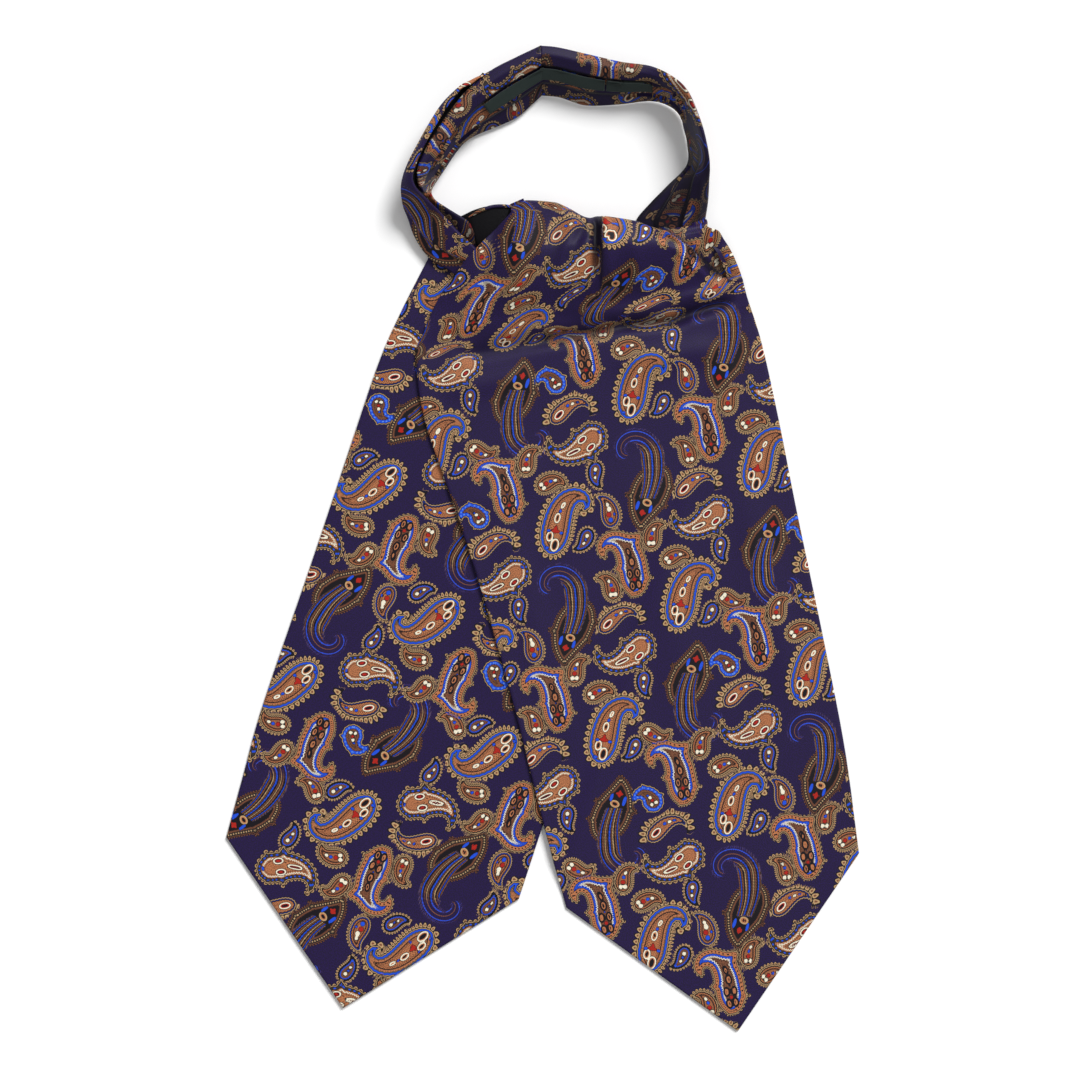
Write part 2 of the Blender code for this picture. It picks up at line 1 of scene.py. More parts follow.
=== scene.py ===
"""Looks of a silk cravat laid flat: two printed blades, a pleated neckband loop, dark lining and bare labels.

The tables are in millimetres, in the photograph's plan; PLAN_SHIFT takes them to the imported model's frame.
"""

import logging
import math
from collections.abc import Callable
from dataclasses import dataclass, field
from enum import Enum
from functools import partial

import bpy
import numpy as np
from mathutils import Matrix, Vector


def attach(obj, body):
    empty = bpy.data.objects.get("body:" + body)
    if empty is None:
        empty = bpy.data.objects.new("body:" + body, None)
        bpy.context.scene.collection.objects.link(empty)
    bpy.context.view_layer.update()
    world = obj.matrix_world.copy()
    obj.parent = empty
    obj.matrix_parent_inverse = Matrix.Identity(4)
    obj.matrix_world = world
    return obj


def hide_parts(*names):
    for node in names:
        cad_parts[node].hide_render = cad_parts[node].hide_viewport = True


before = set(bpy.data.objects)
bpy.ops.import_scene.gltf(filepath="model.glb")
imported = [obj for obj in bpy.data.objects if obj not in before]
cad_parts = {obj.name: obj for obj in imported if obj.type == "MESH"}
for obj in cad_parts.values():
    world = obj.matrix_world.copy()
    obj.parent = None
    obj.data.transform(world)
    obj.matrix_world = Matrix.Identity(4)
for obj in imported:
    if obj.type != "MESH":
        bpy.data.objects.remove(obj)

Grid = np.ndarray
Fields = dict[str, np.ndarray]
Colour = tuple[float, float, float]

log = logging.getLogger("cravat")

MM = 0.001
PLAN_SHIFT = np.array([0.0, 0.089, 0.0])
# Least height of a piece over the table, and where the back of a wall lies on the flat cloth.
TABLE_GAP = 0.05
BACK_OF_CLOTH = (17.0, 9.0)

# Front blade: left edge x, y, right edge x, y, then the rise of the cloth at five places across.
FRONT_ROWS = (
    (12.3, -186.4, 159.8, -159.0, 0.0, 0.0, 0.0, 0.0, 0.0),
    (0.3, -141.7, 152.6, -106.8, 0.0, 0.0, 0.0, 0.0, 0.0),
    (-14.0, -84.4, 141.9, -52.1, 0.0, 0.0, 0.0, 0.0, 0.0),
    (-31.5, -22.6, 127.9, 14.9, 0.0, 0.0, 0.0, 0.0, 0.0),
    (-46.4, 22.9, 119.3, 58.5, 0.0, 0.0, 0.0, 0.0, 0.0),
    (-59.8, 62.9, 110.6, 98.0, 0.3, 0.6, 1.0, 0.8, 0.0),
    (-63.4, 93.2, 103.0, 122.7, 0.5, 1.5, 2.5, 2.0, 0.0),
    (-59.8, 104.3, 99.7, 134.8, 0.5, 5.0, 7.0, 5.0, 0.5),
    (-53.4, 119.9, 95.2, 145.1, 1.0, 10.0, 13.0, 10.0, 3.0),
    (-42.3, 136.0, 91.1, 151.2, 4.8, 13.0, 15.5, 12.5, 5.0),
    (-32.7, 148.5, 87.5, 156.7, 7.4, 13.5, 15.5, 12.0, 7.0),
    (-15.7, 168.1, 82.4, 160.4, 8.5, 12.5, 14.0, 11.0, 8.0),
)
# Fold line at the top of the front blade: place across and how far it stands above the straight line.
TOP_FOLD = (
    (0.00, 0.0), (0.08, 3.7), (0.15, 3.9), (0.22, 3.7), (0.28, 1.9), (0.40, -2.8), (0.44, -1.6),
    (0.63, -2.7), (0.71, -4.8), (0.78, -6.0), (0.86, -4.0), (0.96, -1.5), (1.00, 0.0),
)
# Roll of the cloth over that fold: place across, radius and length of the part turned back.
TOP_ROLL = ((0.00, 3.0, 6.0), (0.25, 5.5, 10.0), (0.50, 6.0, 10.0), (0.75, 3.6, 5.0), (1.00, 2.7, 3.0))
# Right edge of the raised middle pleat, which runs down over the right shoulder: x, y.
PLEAT_RIGHT_LINE = (
    (40.0, 166.0), (53.4, 159.2), (62.0, 156.1), (68.6, 151.3), (74.8, 146.5), (80.9, 141.1), (90.6, 132.6),
)
# Bottom of the trough below the bulge: x, y.
TROUGH_LINE = (
    (-60.0, 88.0), (-35.9, 93.4), (-1.4, 100.0), (16.3, 103.6), (37.6, 107.6), (67.0, 111.2), (92.4, 120.3),
)
# Creases of the front blade: start x, y, end x, y, half width, height.
CREASES = (
    (-46.0, 92.0, 4.0, 101.0, 4.0, -1.8),
    (-12.0, 98.5, 44.0, 108.0, 3.6, -3.0),
    (30.0, 107.0, 76.0, 111.5, 3.2, -3.6),
    (62.0, 110.5, 100.0, 122.0, 3.4, -3.2),
    (-40.0, 102.0, 20.0, 112.0, 5.0, 1.6),
    (10.0, 112.0, 70.0, 119.0, 4.5, 2.0),
    (60.0, 119.0, 92.0, 127.0, 3.5, 1.6),
    (54.0, 157.0, 72.0, 146.0, 2.4, -2.2),
    (68.0, 149.5, 92.0, 129.0, 2.6, -3.4),
    (62.0, 152.0, 88.0, 130.0, 3.0, 1.4),
    (27.0, 168.0, 26.0, 128.0, 2.4, -3.2),
    (31.5, 166.0, 34.0, 124.0, 3.2, 1.3),
    (24.0, 166.0, 10.0, 132.0, 3.0, -1.2),
    (-22.0, 168.0, -32.0, 112.0, 4.0, -1.6),
    (-8.0, 170.0, -18.0, 116.0, 5.0, 1.2),
    (12.0, 168.0, 0.0, 118.0, 4.5, -1.2),
    (44.0, 160.0, 50.0, 122.0, 5.0, 1.0),
    (80.0, 154.0, 97.0, 128.0, 3.0, -1.6),
    (90.0, 150.0, 99.0, 130.0, 2.5, 1.2),
    (-52.0, 74.0, -4.0, 84.0, 6.0, 0.9),
    (30.0, 88.0, 98.0, 98.0, 7.0, 1.2),
    (-30.0, 40.0, 16.0, -110.0, 9.0, 0.5),
    (40.0, 60.0, 84.0, -120.0, 11.0, 0.5),
    (96.0, 50.0, 132.0, -100.0, 9.0, 0.5),
    (-44.0, 10.0, 6.0, 40.0, 8.0, 0.4),
)
# Under blade: left edge x, y and right edge x, y.
UNDER_ROWS = (
    (-159.8, -150.9, -12.5, -181.9),
    (-151.5, -121.0, 5.2, -127.6),
    (-141.3, -84.5, 17.0, -92.0),
    (-117.0, -13.5, 37.5, -28.0),
    (-97.5, 44.8, 54.5, 24.0),
    (-82.5, 89.0, 66.5, 61.0),
    (-71.7, 113.9, 74.0, 85.0),
    (-55.6, 145.7, 79.0, 108.0),
)
# Neckband, left half, inner face: outer edge x, y, z and inner edge x, y from the turn to the seam.
LEFT_ROWS = (
    (-60.0, 175.0, 13.0, -55.9, 173.0),
    (-62.0, 180.0, 17.5, -55.6, 177.5),
    (-62.3, 187.0, 19.5, -50.5, 185.5),
    (-58.0, 197.0, 20.0, -43.0, 196.5),
    (-53.0, 205.5, 19.5, -37.9, 201.8),
    (-46.0, 216.0, 18.5, -31.3, 205.3),
    (-38.0, 226.0, 17.5, -22.2, 208.8),
    (-26.0, 236.0, 17.0, -12.5, 213.4),
    (-14.0, 242.3, 17.0, -5.4, 219.5),
    (-0.7, 248.6, 17.0, 0.0, 224.7),
)
# Neckband, right half, inner face: from the seam to the fanned pleats under the front blade.
RIGHT_ROWS = (
    (-1.5, 248.4, 17.0, -0.8, 224.3),
    (7.7, 247.5, 17.0, 8.5, 223.3),
    (23.8, 243.8, 17.0, 21.5, 219.3),
    (39.3, 240.1, 18.0, 38.0, 219.7),
    (54.4, 237.6, 19.0, 54.4, 221.5),
    (65.5, 231.7, 21.0, 64.0, 219.0),
    (71.8, 225.0, 23.0, 69.4, 214.0),
    (76.8, 213.0, 24.5, 71.3, 207.3),
    (80.2, 202.0, 25.0, 72.9, 200.0),
    (83.2, 188.0, 22.0, 72.5, 189.5),
    (83.8, 178.5, 16.0, 62.5, 179.0),
    (83.6, 169.6, 10.0, 53.5, 170.0),
    (82.6, 162.0, 5.6, 47.2, 162.0),
    (81.5, 155.0, 4.6, 47.0, 155.5),
)
# Neckband turn, outer face up: outer edge x, y, z and inner edge x, y, z from the top strip to the crossing.
TURN_ROWS = (
    (-24.6, 235.8, 15.4, -24.4, 235.3, 15.6),
    (-32.2, 233.4, 16.8, -31.5, 231.8, 17.8),
    (-37.4, 230.8, 17.2, -36.0, 228.6, 18.9),
    (-42.0, 228.3, 17.5, -40.3, 226.6, 19.5),
    (-51.0, 219.3, 18.5, -48.2, 217.2, 21.5),
    (-58.0, 208.5, 19.0, -54.6, 206.7, 22.5),
    (-63.0, 199.5, 19.0, -59.6, 198.2, 22.8),
    (-68.0, 190.0, 18.5, -63.6, 189.4, 22.8),
    (-71.0, 182.0, 17.5, -65.6, 181.8, 22.0),
    (-71.9, 175.5, 15.0, -63.5, 175.8, 20.5),
    (-71.0, 168.1, 11.5, -57.0, 169.6, 17.0),
    (-68.4, 161.5, 8.0, -51.1, 164.0, 12.8),
    (-65.6, 153.6, 5.6, -47.5, 160.5, 11.0),
    (-60.6, 145.4, 4.3, -43.8, 156.6, 10.0),
    (-55.4, 140.2, 4.2, -39.0, 152.0, 9.2),
    (-48.0, 136.0, 4.2, -34.4, 147.7, 8.6),
    (-42.0, 131.5, 4.2, -30.0, 142.5, 7.6),
    (-37.0, 127.5, 4.2, -26.5, 137.5, 7.0),
)
# Pleat behind the turn: upper edge x, y, z and lower edge x, y, z.
BACK_PLEAT_ROWS = (
    (-56.5, 174.5, 13.6, -61.5, 174.0, 11.5),
    (-54.6, 170.6, 12.5, -56.0, 168.8, 9.5),
    (-48.7, 166.9, 11.0, -51.5, 163.2, 6.0),
    (-43.7, 164.0, 10.0, -46.5, 158.5, 5.0),
    (-37.9, 160.6, 8.8, -41.5, 154.0, 5.6),
    (-34.3, 155.0, 7.4, -36.5, 149.0, 5.0),
    (-31.6, 150.0, 6.0, -32.5, 144.5, 4.4),
)
# Dark lining of the turned back of the front blade: upper edge x, y, z and lower edge x, y, z.
LINING_ROWS = (
    (-36.9, 161.2, 8.8, -30.9, 149.6, 5.8),
    (-30.6, 164.6, 9.0, -28.0, 147.5, 6.4),
    (-24.1, 166.6, 8.8, -23.0, 147.5, 7.0),
    (-16.6, 166.6, 8.4, -18.0, 148.5, 7.4),
    (-11.5, 165.4, 6.6, -14.0, 150.0, 6.8),
)


def smooth_step(value: Grid) -> Grid:
    """Runs from 0 to 1 with level ends, as t squared times (3 minus 2 t).

    Args:
        value: Where on the way from 0 to 1; it may lie outside.

    Returns:
        The eased share, of the same shape.
    """
    share = np.clip(value, 0.0, 1.0)
    return share * share * (3.0 - 2.0 * share)


def curve_through(knots: Grid, values: Grid, at: Grid, level: bool = False) -> Grid:
    """Cubic curve through the rows of a table, each slope being the mean of the chords beside its knot.

    Args:
        knots: Places of the rows, rising.
        values: One row of columns for each knot.
        at: Places to read.
        level: Cuts a slope where the chords change sign, so that the curve doesn't overshoot its rows.

    Returns:
        One row of columns for each place.
    """
    knots = np.asarray(knots, dtype=float)
    values = np.asarray(values, dtype=float).reshape(len(knots), -1)
    at = np.clip(np.asarray(at, dtype=float), knots[0], knots[-1])
    steps = np.diff(knots)[:, None]
    chords = np.diff(values, axis=0) / steps
    slopes = np.vstack([chords[:1], (chords[1:] + chords[:-1]) / 2.0, chords[-1:]])
    if level:
        turns = chords[1:] * chords[:-1] <= 0.0
        slopes[1:-1][turns] = 0.0
        limit = 2.0 * np.minimum(np.abs(chords[1:]), np.abs(chords[:-1]))
        slopes[1:-1] = np.clip(slopes[1:-1], -limit, limit)
    cell = np.clip(np.searchsorted(knots, at, side="right") - 1, 0, len(knots) - 2)
    width = steps[cell]
    share = (at[:, None] - knots[cell][:, None]) / width
    square, cube = share**2, share**3
    return (
        (2 * cube - 3 * square + 1) * values[cell]
        + (cube - 2 * square + share) * width * slopes[cell]
        + (3 * square - 2 * cube) * values[cell + 1]
        + (cube - square) * width * slopes[cell + 1]
    )


def rows_between(table: tuple, at: Grid) -> Grid:
    """Reads the table's columns from smooth curves.

    Args:
        table: Rows of numbers.
        at: Row numbers, whole or between.

    Returns:
        One row of columns for each number.
    """
    return curve_through(np.arange(len(table)), table, at)


def surface_normals(grid: Grid) -> Grid:
    """Unit normals of a grid of points: the cross product of its two gradients."""
    along, across = np.gradient(grid, axis=0), np.gradient(grid, axis=1)
    normals = np.cross(across, along)
    return normals / np.maximum(np.linalg.norm(normals, axis=2, keepdims=True), 1e-9)


def upward_normals(grid: Grid) -> Grid:
    """Unit normals of a grid, each turned to the side that faces away from the table."""
    normals = surface_normals(grid)
    return normals * np.where(normals[..., 2:3] < 0.0, -1.0, 1.0)


def even_numbers(length_at: Grid, numbers: Grid, step: float) -> Grid:
    """Row numbers that lie evenly along a line whose length is known at some numbers.

    Args:
        length_at: Length from the first number to each number, in millimetres.
        numbers: The row numbers.
        step: Wanted distance between rows.

    Returns:
        Row numbers a step apart, with both ends kept.
    """
    count = max(2, int(round(length_at[-1] / step)) + 1)
    return np.interp(np.linspace(0.0, length_at[-1], count), length_at, numbers)


def running_length(points: Grid, axis: int = 0) -> Grid:
    """Length along a line of points, starting from 0.

    Args:
        points: Points of one line or of many.
        axis: Axis of the array that runs along a line.

    Returns:
        Length at each point.
    """
    steps = np.linalg.norm(np.diff(points, axis=axis), axis=-1)
    shape = list(steps.shape)
    shape[axis] = 1
    return np.concatenate([np.zeros(shape), np.cumsum(steps, axis=axis)], axis=axis)


def own_lengths(face: Grid) -> Grid:
    """Flat places of a face that the print doesn't care about: the lengths along both its ways."""
    return np.dstack([running_length(face, 0), running_length(face, 1)])


def rows_a_step_apart(shape: Callable[[Grid, Grid], Grid], rows: int, step: float, trials: int) -> Grid:
    """Row numbers of a shape that lie a step apart along its middle.

    Args:
        shape: Gives points for row numbers and places across.
        rows: Rows of its table.
        step: Wanted distance.
        trials: Number of rows from which the length is worked out.

    Returns:
        The row numbers.
    """
    trial = np.linspace(0.0, rows - 1.0, trials)
    middle = shape(trial, np.array([0.45, 0.5, 0.55]))[:, 1]
    return even_numbers(running_length(middle), trial, step)


def line_height(line: tuple, x: Grid) -> Grid:
    """Height y of a line of x, y points at each x."""
    points = np.array(line)
    return np.interp(x, points[:, 0], points[:, 1])


def turned(points: Grid, angle: float) -> Grid:
    """Turns plan points about the origin by an angle in radians, anticlockwise."""
    c, s = math.cos(angle), math.sin(angle)
    x, y = points[..., 0], points[..., 1]
    return np.stack([c * x - s * y, s * x + c * y], axis=-1)


def soft_creases(x: Grid, y: Grid, table: tuple) -> Grid:
    """Sum of soft ridges and troughs, each a bell across its line that fades at both ends.

    Args:
        x: Plan place of each point.
        y: Plan place of each point.
        table: Rows of start x, y, end x, y, half width and height; a trough's height is negative.

    Returns:
        Height to add at each point.
    """
    total = np.zeros_like(x)
    for x0, y0, x1, y1, half, height in table:
        length = math.hypot(x1 - x0, y1 - y0)
        ux, uy = (x1 - x0) / length, (y1 - y0) / length
        along = (x - x0) * ux + (y - y0) * uy
        across = (y - y0) * ux - (x - x0) * uy
        fade = smooth_step(along / (0.3 * length)) * smooth_step((length - along) / (0.3 * length))
        total += height * fade * np.exp(-((across / half) ** 2))
    return total


# The printed paisleys


class Tone(Enum):
    """Dyes of the print, as the display colours that the lit cloth shows."""

    GROUND = (37, 19, 80)
    INK = (16, 10, 18)
    TAN = (182, 115, 75)
    RUST = (122, 76, 52)
    SAND = (190, 156, 112)
    CREAM = (238, 230, 206)
    BLUE = (28, 78, 214)
    SKY = (92, 136, 222)
    RED = (170, 32, 20)
    WINE = (104, 22, 20)
    MOSS = (52, 44, 38)

    def linear(self) -> tuple[float, float, float, float]:
        """Scene-linear colour of the dye, with full cover."""
        shares = [part / 255.0 for part in self.value]
        out = [s / 12.92 if s <= 0.04045 else ((s + 0.055) / 1.055) ** 2.4 for s in shares]
        return (out[0], out[1], out[2], 1.0)


class Layer(Enum):
    """Which field an ornament inside a paisley is drawn in."""

    CORE = "core"
    RED = "red"
    BLUE = "blue"


PARTS = ("bead", "rim", "outline", "band", "channel", "fill", "wave", "ring", "core", "mark")


def dyed(words: str) -> dict[str, Tone]:
    """Dyes of a paisley's parts, named in the order of PARTS."""
    return {part: Tone[word.upper()] for part, word in zip(PARTS, words.split())}


@dataclass(frozen=True)
class PaisleyForm:
    """One kind of paisley: a leaf swept along a curling spine, its zones, its fringe and what is inside.

    The half width rises from the head as a quarter of an ellipse, then falls to the tail as a cosine.
    Zone depths are measured inwards from the outline, in millimetres. A knob on the outline has its side,
    place, size and spread. An ornament has its place, its share of the half width sideways and two radii.
    """

    length: float
    width: float
    curl: float
    curl_power: float
    sway: float
    head: float
    taper: float
    zones: tuple[float, float, float]
    beads: int
    bead_out: float
    bead_size: float
    tones: dict[str, Tone]
    ornaments: dict[Layer, tuple]
    bead_sides: tuple[float, float] = (1.0, 1.0)
    knobs: tuple[tuple[float, float, float, float], ...] = ()

    def spine(self, places: Grid) -> tuple[Grid, Grid, Grid]:
        """Works out the spine: its heading turns by sway times a sine and by curl times a power of the place.

        Args:
            places: Shares of the way from head to tail.

        Returns:
            Points, headings and half widths at the places.
        """
        fine = np.linspace(0.0, 1.0, 401)
        heading = self.sway * np.sin(np.pi * fine) + self.curl * fine**self.curl_power
        step = self.length / 400.0
        line = np.stack([np.cumsum(np.cos(heading)), np.cumsum(np.sin(heading))], axis=1) * step
        rising = np.sqrt(np.clip(1.0 - (1.0 - fine / self.head) ** 2, 0.0, 1.0))
        past_head = np.clip((fine - self.head) / (1.0 - self.head), 0.0, 1.0)
        falling = np.maximum(np.cos(0.5 * np.pi * past_head) ** self.taper, 0.1 * (1.0 - fine**8))
        half = 0.5 * self.width * np.where(fine < self.head, rising, falling)
        points = np.stack([np.interp(places, fine, line[:, 0]), np.interp(places, fine, line[:, 1])], axis=1)
        return points, np.interp(places, fine, heading), np.interp(places, fine, half)

    def outline(self) -> tuple[Grid, Grid]:
        """Closed outline: both sides of the leaf, with a bell for each knob.

        Returns:
            Points round the outline, and at each the share of its side's length from head to tail.
        """
        places = np.linspace(0.0, 1.0, 91) ** 1.3
        points, heading, half = self.spine(places)
        normal = np.stack([-np.sin(heading), np.cos(heading)], axis=1)
        sides = []
        for side in (1.0, -1.0):
            bump = np.zeros_like(places)
            for knob_side, place, size, spread in self.knobs:
                if knob_side == side:
                    bump += size * np.exp(-(((places - place) / spread) ** 2))
            edge = points + side * normal * (half + bump)[:, None]
            run = running_length(edge)
            sides.append((edge, run / run[-1]))
        left, right = sides
        return np.vstack([left[0], right[0][-2:0:-1]]), np.concatenate([left[1], right[1][-2:0:-1]])


FORMS: dict[str, PaisleyForm] = {
    "grand": PaisleyForm(
        length=47.0, width=15.0, curl=-4.5, curl_power=4.0, sway=0.18, head=0.25, taper=0.85,
        zones=(1.65, 2.0, 3.5), beads=21, bead_out=1.35, bead_size=1.15,
        tones=dyed("sand sand blue cream tan tan ink cream tan sand"),
        ornaments={
            Layer.CORE: (
                (0.11, -0.20, 3.1, 1.9), (0.19, 0.30, 2.4, 1.5), (0.40, 0.05, 2.4, 1.3), (0.55, 0.0, 1.6, 0.7),
            ),
            Layer.RED: ((0.26, 0.0, 0.8, 2.2), (0.28, 0.0, 1.9, 0.7)),
            Layer.BLUE: (
                (0.25, 0.44, 0.7, 1.0), (0.25, -0.44, 0.7, 1.0), (0.06, 0.45, 0.7, 1.1), (0.48, 0.0, 0.9, 0.7),
            ),
        },
    ),
    "serpent": PaisleyForm(
        length=46.0, width=15.0, curl=3.9, curl_power=2.8, sway=-0.5, head=0.24, taper=0.72,
        zones=(0.5, 2.5, 4.0), beads=34, bead_out=0.25, bead_size=0.45,
        tones=dyed("sand sand ink tan blue rust cream ink tan ink"),
        knobs=(
            (-1.0, 0.56, 4.0, 0.035), (1.0, 0.33, 2.2, 0.03), (-1.0, 0.17, 2.2, 0.02), (1.0, 0.02, 1.2, 0.015),
        ),
        ornaments={
            Layer.CORE: (
                (0.12, 0.26, 2.1, 1.2), (0.12, -0.26, 2.1, 1.2), (0.25, 0.26, 2.1, 1.2),
                (0.25, -0.26, 2.1, 1.2), (0.38, 0.0, 2.2, 1.3), (0.49, 0.0, 2.0, 0.8),
            ),
            Layer.RED: ((0.185, 0.0, 0.9, 0.9),),
            Layer.BLUE: ((0.31, 0.0, 0.4, 0.5),),
        },
    ),
    "horn": PaisleyForm(
        length=39.0, width=15.0, curl=-2.7, curl_power=2.4, sway=0.35, head=0.22, taper=1.15,
        zones=(0.5, 2.0, 3.0), beads=20, bead_out=0.45, bead_size=0.6,
        tones=dyed("sand sand ink moss tan tan cream cream wine blue"),
        knobs=(
            (1.0, 0.36, 3.2, 0.03), (-1.0, 0.33, 2.4, 0.03), (1.0, 0.14, 1.2, 0.02), (-1.0, 0.12, 1.2, 0.02),
        ),
        ornaments={
            Layer.CORE: ((0.29, 0.42, 2.4, 1.4), (0.31, -0.36, 2.4, 1.4), (0.50, 0.0, 3.6, 0.9)),
            Layer.RED: ((0.29, 0.42, 1.3, 0.6), (0.31, -0.36, 1.3, 0.6)),
            Layer.BLUE: ((0.08, 0.0, 0.6, 1.2),),
        },
    ),
    "leaf": PaisleyForm(
        length=35.0, width=19.0, curl=0.5, curl_power=2.0, sway=-0.2, head=0.40, taper=0.78,
        zones=(0.45, 2.1, 2.7), beads=34, bead_out=0.3, bead_size=0.45,
        tones=dyed("rust rust ink moss rust ink rust sand tan sand"),
        knobs=((1.0, 0.52, 2.2, 0.02), (-1.0, 0.58, 2.4, 0.02), (1.0, 0.22, 2.0, 0.02)),
        ornaments={
            Layer.CORE: ((0.58, 0.1, 1.6, 2.2),),
            Layer.BLUE: ((0.66, 0.45, 2.2, 0.7), (0.66, -0.42, 2.6, 0.8)),
            Layer.RED: ((0.74, 0.0, 1.9, 0.7), (0.74, 0.0, 0.7, 1.9)),
        },
    ),
    "flame": PaisleyForm(
        length=26.0, width=8.4, curl=-2.3, curl_power=2.6, sway=0.25, head=0.24, taper=1.0,
        zones=(0.9, 1.15, 2.0), beads=15, bead_out=1.9, bead_size=1.7, bead_sides=(1.0, 0.0),
        tones=dyed("sand sand blue ink tan tan tan cream red ink"),
        ornaments={
            Layer.CORE: ((0.22, 0.0, 2.8, 1.4), (0.56, 0.0, 0.8, 0.45)),
            Layer.BLUE: ((0.46, 0.1, 0.9, 0.7), (0.66, 0.0, 1.1, 0.5)),
        },
    ),
    "drop": PaisleyForm(
        length=14.0, width=6.8, curl=1.3, curl_power=2.0, sway=-0.2, head=0.30, taper=1.0,
        zones=(0.45, 1.25, 1.5), beads=13, bead_out=0.95, bead_size=0.6,
        tones=dyed("sand ink blue blue ink rust rust cream cream blue"),
        ornaments={
            Layer.CORE: ((0.26, 0.0, 0.8, 0.7), (0.56, 0.0, 0.7, 0.45)),
            Layer.BLUE: ((0.41, 0.0, 0.7, 0.7),),
        },
    ),
    "bud": PaisleyForm(
        length=20.0, width=9.6, curl=1.5, curl_power=1.8, sway=-0.3, head=0.32, taper=0.95,
        zones=(1.0, 1.25, 2.2), beads=17, bead_out=0.7, bead_size=0.6, bead_sides=(0.0, 1.0),
        tones=dyed("sand sand blue ink tan tan ink cream cream ink"),
        ornaments={
            Layer.CORE: ((0.48, 0.0, 1.1, 0.9), (0.60, 0.0, 0.8, 0.6)),
            Layer.RED: ((0.34, 0.15, 1.2, 1.2),),
            Layer.BLUE: ((0.20, 0.0, 1.2, 1.1), (0.34, -0.45, 0.7, 0.7)),
        },
    ),
    "round": PaisleyForm(
        length=20.0, width=11.0, curl=3.3, curl_power=1.9, sway=-0.3, head=0.30, taper=1.0,
        zones=(0.5, 2.2, 2.6), beads=16, bead_out=-1.35, bead_size=0.5,
        tones=dyed("sky sand ink blue ink rust rust cream cream sky"),
        knobs=((-1.0, 0.30, 1.6, 0.025), (1.0, 0.10, 1.4, 0.02), (-1.0, 0.62, 1.3, 0.02)),
        ornaments={
            Layer.CORE: ((0.22, 0.24, 0.7, 0.6), (0.22, -0.24, 0.7, 0.6), (0.40, 0.0, 0.7, 0.6)),
            Layer.RED: ((0.31, 0.0, 0.8, 0.8),),
            Layer.BLUE: ((0.48, 0.0, 0.7, 0.6),),
        },
    ),
    "tan": PaisleyForm(
        length=18.0, width=8.6, curl=-2.4, curl_power=2.2, sway=0.1, head=0.30, taper=0.95,
        zones=(0.55, 0.8, 1.9), beads=16, bead_out=0.8, bead_size=0.6,
        tones=dyed("sand sand sand ink tan tan ink cream cream ink"),
        ornaments={
            Layer.CORE: ((0.17, 0.30, 0.9, 0.7), (0.17, -0.30, 0.9, 0.7), (0.57, 0.0, 0.8, 0.5)),
            Layer.RED: ((0.30, 0.0, 1.0, 1.1),),
            Layer.BLUE: ((0.44, 0.0, 0.9, 0.8),),
        },
    ),
}
KINDS = tuple(FORMS)


class Cells(Enum):
    """In which cells of the repeat a paisley stands."""

    EVERY = (0, 1)
    EVEN = (0,)
    ODD = (1,)


# One repeat: kind, place along the two sides of the cell, heading in degrees, mirrored or not, which cells.
REPEAT = (
    ("grand", 0.02, -0.02, 72.0, 1.0, Cells.EVERY),
    ("serpent", 0.54, 0.00, 114.0, 1.0, Cells.EVERY),
    ("horn", 0.85, 0.51, 214.0, 1.0, Cells.EVERY),
    ("leaf", 0.44, 0.57, 250.0, 1.0, Cells.EVEN),
    ("leaf", 0.30, 0.42, 70.0, 1.0, Cells.ODD),
    ("flame", 0.68, 0.36, 40.0, 1.0, Cells.EVERY),
    ("bud", 0.25, 0.78, 100.0, 1.0, Cells.EVEN),
    ("tan", 0.29, 0.86, 320.0, -1.0, Cells.ODD),
    ("drop", 0.05, 0.62, 264.0, 1.0, Cells.EVERY),
    ("drop", 0.21, 0.02, 248.0, -1.0, Cells.EVERY),
    ("round", 0.47, 0.24, 118.0, 1.0, Cells.ODD),
    ("tan", 0.51, 0.20, 96.0, -1.0, Cells.EVEN),
    ("tan", 0.61, 0.76, 92.0, 1.0, Cells.EVERY),
    ("tan", 0.82, 0.82, 38.0, 1.0, Cells.EVERY),
)
CELL_START = np.array([8.7, 8.8])
CELL_A = np.array([63.4, -37.5])
CELL_B = np.array([-38.8, -68.4])


